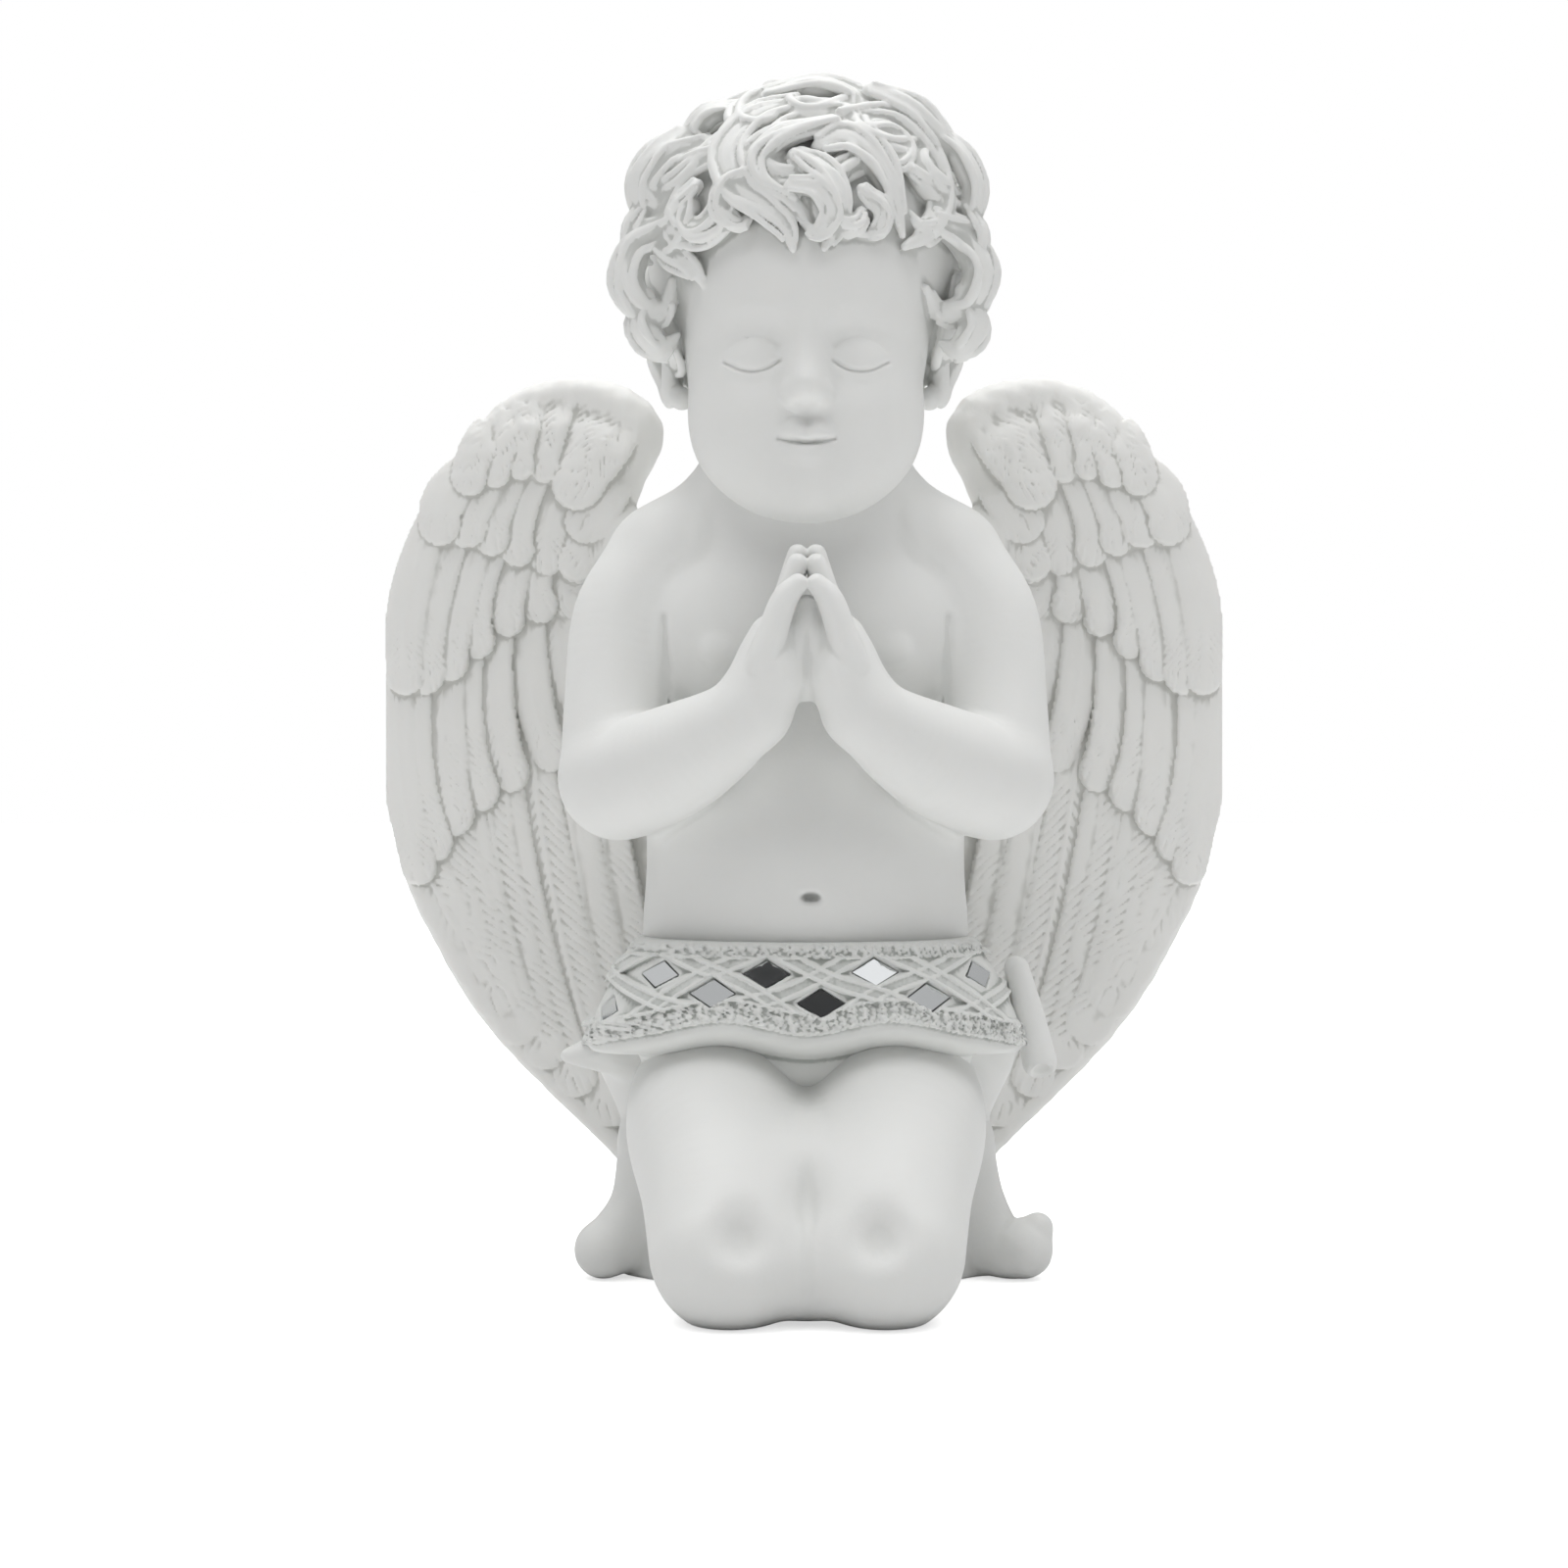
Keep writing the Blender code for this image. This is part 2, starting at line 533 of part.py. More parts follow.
def run_together(angel):
    """Makes one skin of the overlapping forms, softens it and thins it to few faces."""
    remesh = angel.modifiers.new("run together", "REMESH")
    remesh.mode = "VOXEL"
    remesh.voxel_size = GRAIN * UNIT
    soften = angel.modifiers.new("soften", "SMOOTH")
    soften.factor = 0.5
    soften.iterations = SMOOTHING_PASSES
    apply_modifiers(angel)
    keep_outer_skin(angel)
    thin = angel.modifiers.new("thin", "DECIMATE")
    thin.ratio = CAST_FACES / (2 * len(angel.data.polygons))
    apply_modifiers(angel)


def apply_modifiers(thing):
    """Replaces the object's mesh by what its modifiers make of it."""
    graph = bpy.context.evaluated_depsgraph_get()
    data = bpy.data.meshes.new_from_object(thing.evaluated_get(graph))
    thing.modifiers.clear()
    old = thing.data
    thing.data = data
    bpy.data.meshes.remove(old)


def keep_outer_skin(thing):
    """Deletes closed pockets left between the forms, and keeps the largest connected skin."""
    mesh = bmesh.new()
    mesh.from_mesh(thing.data)
    left = set(mesh.verts)
    skins = []
    while left:
        seed = left.pop()
        skin, front = {seed}, [seed]
        while front:
            vert = front.pop()
            for edge in vert.link_edges:
                other = edge.other_vert(vert)
                if other in left:
                    left.remove(other)
                    skin.add(other)
                    front.append(other)
        skins.append(skin)
    skins.sort(key=len)
    for skin in skins[:-1]:
        bmesh.ops.delete(mesh, geom=list(skin), context="VERTS")
    mesh.to_mesh(thing.data)
    mesh.free()


def chip_place(number):
    """Where a chip's middle lies, on the band and sunk into it, and how it is turned."""
    x = LATTICE_MIDDLE + (number - CHIP_COUNT / 2) * LATTICE_PITCH / 2
    z = lattice_height(x, LOWER_ROW if number % 2 == 0 else UPPER_ROW)
    normal = band_normal(x, z)
    centre = on_band(x, z, 0.0) * UNIT - normal * (CHIP_SINK + CHIP_THICKNESS / 2)
    turn = normal.to_track_quat("Z", "Y").to_matrix().to_4x4()
    return Matrix.Translation(centre) @ turn


def rhombus(name, length, height, thickness, collection):
    """Flat four-cornered plate with its corners left, right, up and down, about its own middle."""
    outline = bpy.data.curves.new(name, "CURVE")
    outline.dimensions = "2D"
    outline.fill_mode = "BOTH"
    outline.extrude = thickness / 2
    spline = outline.splines.new("POLY")
    spline.points.add(3)
    corners = ((length / 2, 0), (0, height / 2), (-length / 2, 0), (0, -height / 2))
    for point, (x, y) in zip(spline.points, corners):
        point.co = (x, y, 0, 1)
    spline.use_cyclic_u = True
    flat = bpy.data.objects.new(name, outline)
    collection.objects.link(flat)
    graph = bpy.context.evaluated_depsgraph_get()
    data = bpy.data.meshes.new_from_object(flat.evaluated_get(graph))
    bpy.data.objects.remove(flat)
    mesh = bmesh.new()
    mesh.from_mesh(data)
    bmesh.ops.remove_doubles(mesh, verts=mesh.verts, dist=0.00001)
    bmesh.ops.recalc_face_normals(mesh, faces=mesh.faces)
    mesh.to_mesh(data)
    mesh.free()
    plate = bpy.data.objects.new(name, data)
    collection.objects.link(plate)
    return plate


def make_chips(collection, cutters):
    """The mirror chips, and for each a cutter that leaves its pocket with a gap all round."""
    chips, pockets = [], []
    deep = CHIP_SINK + CHIP_THICKNESS + CHIP_GAP
    for number in range(CHIP_COUNT):
        chip = rhombus(f"mirror_chip_{number + 1:02d}", CHIP_LENGTH, CHIP_HEIGHT, CHIP_THICKNESS, collection)
        chip.matrix_world = chip_place(number)
        slant = CHIP_GAP * math.hypot(CHIP_LENGTH, CHIP_HEIGHT)
        length = CHIP_LENGTH + 2 * slant / CHIP_HEIGHT
        height = CHIP_HEIGHT + 2 * slant / CHIP_LENGTH
        pocket = rhombus(f"chip_pocket_{number + 1:02d}", length, height, 4 * deep, cutters)
        middle = 2 * deep - CHIP_THICKNESS / 2 - CHIP_GAP
        pocket.matrix_world = chip.matrix_world @ Matrix.Translation((0, 0, middle))
        pocket.hide_render = True
        pocket.display_type = "WIRE"
        chips.append(chip)
        pockets.append(pocket)
    return chips, pockets


def cut_pockets_and_foot(angel, pockets, cutters):
    """Cuts the chips' pockets and the flat underside on the table."""
    for pocket in pockets:
        cut = angel.modifiers.new(pocket.name, "BOOLEAN")
        cut.operation = "DIFFERENCE"
        cut.solver = "EXACT"
        cut.object = pocket
    table = bpy.data.meshes.new("table_cutter")
    mesh = bmesh.new()
    bmesh.ops.create_cube(mesh, size=STATUE_HEIGHT)
    mesh.to_mesh(table)
    mesh.free()
    cutter = bpy.data.objects.new("table_cutter", table)
    cutter.location = (0, 0, -STATUE_HEIGHT / 2)
    cutter.hide_render = True
    cutter.display_type = "WIRE"
    cutters.objects.link(cutter)
    cut = angel.modifiers.new("flat foot", "BOOLEAN")
    cut.operation = "DIFFERENCE"
    cut.solver = "EXACT"
    cut.object = cutter


def material(name, colour, roughness, metallic):
    """Plain finish with a colour, roughness and metallic value."""
    finish = bpy.data.materials.new(name)
    finish.use_nodes = True
    shader = finish.node_tree.nodes["Principled BSDF"]
    shader.inputs["Base Color"].default_value = (*colour, 1)
    shader.inputs["Roughness"].default_value = roughness
    shader.inputs["Metallic"].default_value = metallic
    return finish


def main():
    for thing in list(bpy.data.objects):
        bpy.data.objects.remove(thing)
    parts = bpy.data.collections.new("praying_cherub")
    cutters = bpy.data.collections.new("cutters")
    bpy.context.scene.collection.children.link(parts)
    bpy.context.scene.collection.children.link(cutters)
    angel = make_casting(parts)
    run_together(angel)
    chips, pockets = make_chips(parts, cutters)
    cut_pockets_and_foot(angel, pockets, cutters)
    angel.data.materials.clear()
    angel.data.materials.append(material("white resin", (0.82, 0.83, 0.81), 0.6, 0.0))
    for chip in chips:
        chip.data.materials.append(material("mirror", (0.75, 0.77, 0.78), 0.05, 1.0))


main()
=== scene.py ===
"""Looks of the kneeling cherub figurine: fine skins of white cast resin and mirror chips in its band.

The forms are worked in clay: a block of space sampled on a level grid, where each grid point holds its
distance to the surface. Balls and limbs are run together with soft joins, carving is added or cut as
relief, and a skin is then stretched over the places where the distance is nought.
Lengths are in units, a 230th part of the figurine's height, with +Z up and the cherub facing -Y.
"""
import math

import bpy
import numpy as np
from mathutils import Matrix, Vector


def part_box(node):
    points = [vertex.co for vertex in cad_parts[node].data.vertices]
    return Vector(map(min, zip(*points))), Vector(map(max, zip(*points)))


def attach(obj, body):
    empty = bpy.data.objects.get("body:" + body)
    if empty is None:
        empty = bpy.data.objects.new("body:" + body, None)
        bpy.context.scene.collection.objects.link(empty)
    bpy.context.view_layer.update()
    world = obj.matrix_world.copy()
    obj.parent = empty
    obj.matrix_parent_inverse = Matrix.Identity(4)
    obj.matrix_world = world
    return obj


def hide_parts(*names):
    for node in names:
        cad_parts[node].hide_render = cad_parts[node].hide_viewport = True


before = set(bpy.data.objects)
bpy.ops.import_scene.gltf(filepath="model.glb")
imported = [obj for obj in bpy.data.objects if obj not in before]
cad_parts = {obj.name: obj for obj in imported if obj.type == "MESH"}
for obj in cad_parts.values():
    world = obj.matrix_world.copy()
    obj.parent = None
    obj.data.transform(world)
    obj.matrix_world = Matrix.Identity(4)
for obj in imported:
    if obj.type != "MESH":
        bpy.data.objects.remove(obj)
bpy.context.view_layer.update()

STATUE_HEIGHT = 0.230
UNIT = STATUE_HEIGHT / 230
MOST_TRIANGLES = 190000
SOFTEST_JOIN = 8.0
FAR = 2 * SOFTEST_JOIN
BALL_MARGIN = 1.6


def grain(fine):
    return fine


# Curves and turns

def smooth_path(rows, steps=8):
    """Catmull-Rom curve through rows of numbers, such as x, y, z and radius."""
    rows = np.asarray(rows, float)
    if len(rows) < 3:
        return rows
    padded = np.vstack([2 * rows[0] - rows[1], rows, 2 * rows[-1] - rows[-2]])
    before, start, end, after = padded[:-3], padded[1:-2], padded[2:-1], padded[3:]
    path = []
    for t in np.linspace(0, 1, steps, endpoint=False):
        path.append(0.5 * (2 * start + (end - before) * t
                           + (2 * before - 5 * start + 4 * end - after) * t ** 2
                           + (3 * start - before - 3 * end + after) * t ** 3))
    path = np.stack(path, 1).reshape(-1, rows.shape[1])
    return np.vstack([path, rows[-1]])


def bezier(start, bend, end, steps=15):
    """Points of the quadratic curve from start to end, pulled towards bend."""
    t = np.linspace(0, 1, steps)[:, None]
    return (1 - t) ** 2 * np.array(start) + 2 * t * (1 - t) * np.array(bend) + t ** 2 * np.array(end)


def through(three, t):
    """Point at t, from 0 to 1, of the parabola through three points."""
    first, middle, last = (np.array(p, float) for p in three)
    return first * (2 * (t - 0.5) * (t - 1)) + middle * (4 * t * (1 - t)) + last * (2 * t * (t - 0.5))


def rotation(turn):
    """Matrix of a turn about X, then Y, then Z, in degrees."""
    (cx, cy, cz), (sx, sy, sz) = np.cos(np.radians(turn)), np.sin(np.radians(turn))
    about_x = np.array([[1, 0, 0], [0, cx, -sx], [0, sx, cx]])
    about_y = np.array([[cy, 0, sy], [0, 1, 0], [-sy, 0, cy]])
    about_z = np.array([[cz, -sz, 0], [sz, cz, 0], [0, 0, 1]])
    return about_z @ about_y @ about_x


def mirrored(path):
    """The path on the cherub's other side."""
    return [(-x, *rest) for x, *rest in path]


def smoothstep(low, high, x):
    """0 below low, 1 above high, and an S-curve between them."""
    t = np.clip((x - low) / (high - low), 0, 1)
    return t * t * (3 - 2 * t)


def ripple_noise(x, y, z, scale, seed=0.0):
    """Soft unevenness between -1 and 1: a sum of slanted sine waves of about the given length."""
    total = 0.0
    for i in range(5):
        a, b = 1.7 * i + seed, 2.9 * i + 0.5 * seed
        wave = math.sin(a) * x + math.cos(a) * math.sin(b) * y + math.cos(a) * math.cos(b) * z
        total = total + np.sin(wave * 2 * math.pi / (scale * (1 + 0.23 * i)) + 4.1 * i + seed)
    return total / 5


# The clay and its skin

class Clay:
    """A block of space on a level grid; d holds the distance to the surface, less than 0 inside."""

    def __init__(self, low, high, cell):
        self.cell = cell
        self.low = np.array(low, float)
        count = np.ceil((np.array(high, float) - self.low) / cell).astype(int) + 1
        self.axes = [(self.low[i] + cell * np.arange(count[i])).astype(np.float32) for i in range(3)]
        self.d = np.full(count, FAR, np.float32)

    def window(self, low, high):
        """Slices of the grid points between two corners, with their x, y and z to spread over."""
        count = np.array(self.d.shape)
        first = np.clip(np.floor((np.array(low) - self.low) / self.cell).astype(int), 0, count)
        last = np.clip(np.ceil((np.array(high) - self.low) / self.cell).astype(int) + 1, 0, count)
        last = np.maximum(last, first)
        part = tuple(slice(a, b) for a, b in zip(first, last))
        x = self.axes[0][part[0]][:, None, None]
        y = self.axes[1][part[1]][None, :, None]
        z = self.axes[2][part[2]][None, None, :]
        return part, (x, y, z)

    def margin(self, blend):
        """How far round a form its distance is worked out, so that no later soft join shows its end."""
        return blend + (SOFTEST_JOIN if blend > 1 else 2.5 * self.cell)

    def everywhere(self):
        """The whole grid as a window."""
        return self.window(self.low, [axis[-1] for axis in self.axes])

    def join(self, part, distance, blend):
        """Adds a form: the smaller distance, less a soft fillet as wide as blend where the two are near."""
        here = self.d[part]
        joined = np.minimum(here, distance)
        if blend > 0:
            joined -= np.maximum(blend - np.abs(here - distance), 0) ** 2 / (4 * blend)
        self.d[part] = joined

    def cut(self, part, distance, blend):
        """Takes a form away, with a soft edge as wide as blend."""
        here = self.d[part]
        left = np.maximum(here, -distance)
        if blend > 0:
            left += np.maximum(blend - np.abs(here + distance), 0) ** 2 / (4 * blend)
        self.d[part] = left

    def ball(self, centre, radii, turn=(0, 0, 0), blend=2.0, cut=False):
        """Stretched sphere: k(k - 1) / |gradient|, with k the length of the point over the radii. Off
        its axes this falls short of the true distance, so its window is wider than a limb's."""
        centre = np.array(centre, float)
        radii = np.array(radii, float)
        axes = rotation(turn)
        reach = np.sqrt(((axes * radii) ** 2).sum(1)) + BALL_MARGIN * self.margin(blend)
        part, (x, y, z) = self.window(centre - reach, centre + reach)
        x, y, z = x - centre[0], y - centre[1], z - centre[2]
        if any(turn):
            local = [axes[0, i] * x + axes[1, i] * y + axes[2, i] * z for i in range(3)]
        else:
            local = [x, y, z]
        k = np.sqrt(sum((local[i] / radii[i]) ** 2 for i in range(3)))
        steep = np.sqrt(sum((local[i] / radii[i] ** 2) ** 2 for i in range(3))) + 1e-6
        distance = np.minimum(k * (k - 1) / steep, FAR).astype(np.float32)
        (self.cut if cut else self.join)(part, distance, blend)

    def balls(self, centre, radii, turn=(0, 0, 0), blend=2.0, cut=False):
        """The same ball left and right of the middle."""
        x, y, z = centre
        about_x, about_y, about_z = turn
        self.ball((x, y, z), radii, turn, blend, cut)
        self.ball((-x, y, z), radii, (about_x, -about_y, -about_z), blend, cut)

    def limb(self, path, blend=2.0, cut=False, steps=8):
        """Round tube along a path of (x, y, z, radius): the least distance to its short straight cones."""
        rows = smooth_path(path, steps)
        margin = self.margin(blend)
        whole, _ = self.window((rows[:, :3] - rows[:, 3:]).min(0) - margin,
                               (rows[:, :3] + rows[:, 3:]).max(0) + margin)
        base = [s.start for s in whole]
        distance = np.full([s.stop - s.start for s in whole], FAR, np.float32)
        if 0 in distance.shape:
            return
        for start, end in zip(rows[:-1], rows[1:]):
            low = np.minimum(start[:3] - start[3], end[:3] - end[3]) - margin
            high = np.maximum(start[:3] + start[3], end[:3] + end[3]) + margin
            part, (x, y, z) = self.window(low, high)
            if any(s.stop <= s.start for s in part):
                continue
            along = end[:3] - start[:3]
            length = max(float(along @ along), 1e-9)
            px, py, pz = x - start[0], y - start[1], z - start[2]
            share = np.clip((px * along[0] + py * along[1] + pz * along[2]) / length, 0, 1)
            px, py, pz = px - share * along[0], py - share * along[1], pz - share * along[2]
            here = np.sqrt(px * px + py * py + pz * pz) - (start[3] + share * (end[3] - start[3]))
            local = tuple(slice(s.start - b, s.stop - b) for s, b in zip(part, base))
            distance[local] = np.minimum(distance[local], here)
        (self.cut if cut else self.join)(whole, distance, blend)

    def limbs(self, path, **how):
        """The same limb left and right of the middle."""
        self.limb(path, **how)
        self.limb(mirrored(path), **how)

    def dimple(self, centre, width, depth):
        """Bell-shaped dip round a point of the surface, depth times exp(-(distance / width) ** 2)."""
        centre = np.array(centre, float)
        part, (x, y, z) = self.window(centre - 3 * width, centre + 3 * width)
        far = (x - centre[0]) ** 2 + (y - centre[1]) ** 2 + (z - centre[2]) ** 2
        self.d[part] += depth * np.exp(-far / width ** 2)

    def keep_inside(self, low, high):
        """Cuts off flat whatever lies outside two corners."""
        part, axes = self.everywhere()
        for values, a, b in zip(axes, low, high):
            self.d[part] = np.maximum(self.d[part], np.maximum(a - values, values - b))


def skin_of(clay):
    """Surface net: in each grid cell that the surface crosses lies one point, at the mean of the
    crossings on the cell's edges, and each grid edge that is crossed carries one four-sided face."""
    d = clay.d
    inside = d < 0
    corners = np.zeros([n - 1 for n in d.shape], np.uint8)
    for i in (0, 1):
        for j in (0, 1):
            for k in (0, 1):
                corners += inside[i:i + corners.shape[0], j:j + corners.shape[1], k:k + corners.shape[2]]
    crossed = (corners > 0) & (corners < 8)
    number = np.full(crossed.shape, -1, np.int32)
    number[crossed] = np.arange(np.count_nonzero(crossed), dtype=np.int32)
    cells = np.argwhere(crossed)
    total = np.zeros((len(cells), 3))
    count = np.zeros(len(cells))
    for axis in range(3):
        others = [a for a in range(3) if a != axis]
        for i in (0, 1):
            for j in (0, 1):
                offset = np.zeros(3, int)
                offset[others[0]], offset[others[1]] = i, j
                step = np.eye(3, dtype=int)[axis]
                start = cells + offset
                near = d[tuple(start.T)]
                distant = d[tuple((start + step).T)]
                hit = (near < 0) != (distant < 0)
                share = np.where(hit, near / np.where(hit, near - distant, 1), 0)
                place = offset + share[:, None] * step
                total += np.where(hit[:, None], place, 0)
                count += hit
    points = clay.low + clay.cell * (cells + total / count[:, None])
    faces = []
    for axis in range(3):
        step = [0, 0, 0]
        step[axis] = 1
        size = [n - s for n, s in zip(d.shape, step)]
        start = inside[:size[0], :size[1], :size[2]]
        end = inside[step[0]:, step[1]:, step[2]:]
        edges = np.argwhere(start != end)
        u, v = [a for a in range(3) if a != axis]
        good = ((edges[:, u] > 0) & (edges[:, v] > 0)
                & (edges[:, u] < d.shape[u] - 1) & (edges[:, v] < d.shape[v] - 1))
        edges = edges[good]
        around = []
        for du, dv in ((-1, -1), (0, -1), (0, 0), (-1, 0)):
            cell = edges.copy()
            cell[:, u] += du
            cell[:, v] += dv
            around.append(number[tuple(cell.T)])
        quad = np.stack(around, 1)
        turned = start[tuple(edges.T)] == (axis == 1)
        quad[turned] = quad[turned][:, ::-1]
        faces.append(quad)
    return points, np.vstack(faces)


def make_piece(name, clay):
    """Object with the clay's skin, in metres, with its cavities marked and few enough triangles."""
    points, faces = skin_of(clay)
    mesh = bpy.data.meshes.new(name)
    mesh.vertices.add(len(points))
    mesh.vertices.foreach_set("co", (points * UNIT).astype(np.float32).ravel())
    mesh.loops.add(faces.size)
    mesh.loops.foreach_set("vertex_index", faces.astype(np.int32).ravel())
    mesh.polygons.add(len(faces))
    mesh.polygons.foreach_set("loop_start", np.arange(0, faces.size, 4, dtype=np.int32))
    mesh.polygons.foreach_set("use_smooth", np.ones(len(faces), bool))
    mesh.update(calc_edges=True)
    mesh.validate()
    piece = bpy.data.objects.new(name, mesh)
    bpy.context.scene.collection.objects.link(piece)
    if 2 * len(faces) > MOST_TRIANGLES:
        thin = piece.modifiers.new("thin", "DECIMATE")
        thin.ratio = MOST_TRIANGLES / (2 * len(faces))
        graph = bpy.context.evaluated_depsgraph_get()
        thinned = bpy.data.meshes.new_from_object(piece.evaluated_get(graph))
        piece.modifiers.clear()
        piece.data = thinned
        bpy.data.meshes.remove(mesh)
        piece.data.name = name
    mark_hollows(piece.data)
    return piece


HOLLOW_TURNS = 24
HOLLOW_READINGS = (3, 9, 23)
HOLLOW_DEPTH = 0.35 * UNIT
FACE_FADE = 0.85


def mark_hollows(mesh):
    """Point attribute hollow, which places the painted shade of the finishes: how far each point lies
    below the mean of its neighbours, along its normal, read at three widths of smoothing. Half is
    level, and 1 is the deepest hollow. It fades on the front of the face, which gets less painted shade."""
    points = np.empty(len(mesh.vertices) * 3, np.float32)
    mesh.vertices.foreach_get("co", points)
    points = points.reshape(-1, 3)
    normals = np.empty_like(points)
    mesh.vertices.foreach_get("normal", normals.reshape(-1))
    edges = np.empty(len(mesh.edges) * 2, np.int32)
    mesh.edges.foreach_get("vertices", edges)
    edges = edges.reshape(-1, 2)
    degree = np.bincount(edges.ravel(), minlength=len(points)).astype(np.float32)[:, None]
    degree = np.maximum(degree, 1)
    smooth = points.copy()
    hollow = np.zeros(len(points), np.float32)
    for turn in range(HOLLOW_TURNS):
        summed = np.zeros_like(smooth)
        for axis in range(3):
            summed[:, axis] = (np.bincount(edges[:, 0], smooth[edges[:, 1], axis], len(points))
                               + np.bincount(edges[:, 1], smooth[edges[:, 0], axis], len(points)))
        smooth = 0.3 * smooth + 0.7 * summed / degree
        if turn in HOLLOW_READINGS:
            hollow += ((smooth - points) * normals).sum(1) / HOLLOW_DEPTH
    x, y, z = points.T / UNIT
    face = smoothstep(23, 20, np.abs(x)) * smoothstep(-8, -12, y)
    face = face * smoothstep(140, 146, z) * smoothstep(192, 187, z)
    hollow = np.clip(0.5 + hollow / len(HOLLOW_READINGS) * (1 - FACE_FADE * face), 0, 1)
    attribute = mesh.attributes.new("hollow", "FLOAT", "POINT")
    attribute.data.foreach_set("value", hollow)


# Band of the loincloth, as the solid has it

BAND_TOP = 66.0
BAND_LOW = 45.0
BAND_HEIGHTS = [40, 46, 52, 60, 66]
BAND_HALF = [37.0, 41.5, 39.7, 35.8, 31.5]
BAND_FRONT = [24.0, 28.5, 28.8, 25.8, 22.8]
BAND_BACK = [28.0, 30.0, 29.5, 28.5, 27.0]
BAND_SQUARE = 2.5
LOWER_BORDER = 4.2
UPPER_BORDER = 2.6
LATTICE_MIDDLE = 2.6
LATTICE_PITCH = 19.8
LOWER_ROW = 0.16
UPPER_ROW = 0.68
STRIP_HALF = 1.45
STRIP_RAISE = 1.3
HEM_HOLLOW = 0.45
POCKET_GAP = 0.4
RIM_HEIGHT = 49.6
RIM_LIFT = 2.3
RIM_WAVE = 30
PEBBLE_PITCH = 1.5


def rim_height(x):
    """Height of the band's scalloped lower rim at x: it lifts over each thigh."""
    out = np.abs(x)
    lift = RIM_LIFT * np.sin(np.pi * np.minimum(out, RIM_WAVE) / RIM_WAVE) ** 2
    return RIM_HEIGHT + lift - 0.03 * np.maximum(out - 24, 0) ** 1.7


def make_band_clay(cell):
    """Loincloth's band: distance to a rounded oblong whose width changes with height, less its relief,
    drawn in under its rim, with a pocket for each chip."""
    clay = Clay((-48, -38, 31), (48, 38, 70), cell)
    part, (x, y, z) = clay.everywhere()
    half = np.interp(z, BAND_HEIGHTS, BAND_HALF)
    reach = np.where(y < 0, np.interp(z, BAND_HEIGHTS, BAND_FRONT), np.interp(z, BAND_HEIGHTS, BAND_BACK))
    u, v = np.abs(x / half), np.abs(y / reach)
    k = (u ** BAND_SQUARE + v ** BAND_SQUARE) ** (1 / BAND_SQUARE)
    steep = np.sqrt((u ** (BAND_SQUARE - 1) / half) ** 2 + (v ** (BAND_SQUARE - 1) / reach) ** 2)
    steep = steep / np.maximum(k, 0.2) ** (BAND_SQUARE - 1)
    side = (k - 1) / np.maximum(steep, 0.01)
    facing = np.clip((v ** (BAND_SQUARE - 1) / reach) / np.maximum(steep, 0.01)
                     / np.maximum(k, 0.2) ** (BAND_SQUARE - 1), 0.25, 1)
    relief = band_relief(x, y, z, facing)
    under = HEM_HOLLOW * np.maximum(rim_height(x) - 1 - z, 0) ** 2 * smoothstep(10, -2, y)
    body = side - relief + under
    clay.join(part, np.maximum(body, np.maximum(z - BAND_TOP, BAND_LOW - z)).astype(np.float32), 0)
    clay.ball((0, -6, 43), (31, 15.5, 9), blend=3)
    for centre, turned, size in chip_frames():
        cut_pocket(clay, centre, turned, size)
    return clay


def chip_frames():
    """Each mirror chip of the solids: its middle, its long, short and thin directions, its half sizes."""
    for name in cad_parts:
        if name.startswith("mirror_chip"):
            chip = bpy.data.objects[name]
            corners = np.array([chip.matrix_world @ vert.co for vert in chip.data.vertices]) / UNIT
            centre = (corners.min(0) + corners.max(0)) / 2
            turned = np.linalg.svd(corners - centre)[2]
            yield centre, turned, np.abs((corners - centre) @ turned.T).max(0)


def cut_pocket(clay, centre, turned, size):
    """Cuts the four-cornered pocket that a chip lies in, with a narrow gap all round."""
    reach = size[0] + 2
    part, place = clay.window(centre - reach, centre + reach)
    local = [sum(axis[i] * (place[i] - centre[i]) for i in range(3)) for axis in turned]
    long_half, short_half = size[0] + POCKET_GAP, size[1] + POCKET_GAP
    slope = np.hypot(1 / long_half, 1 / short_half)
    outline = (np.abs(local[0]) / long_half + np.abs(local[1]) / short_half - 1) / slope
    outward = local[2] if turned[2] @ (centre * (1, 1, 0)) > 0 else -local[2]
    floor = -outward - size[2] - POCKET_GAP
    clay.cut(part, np.maximum(outline, floor), 0)


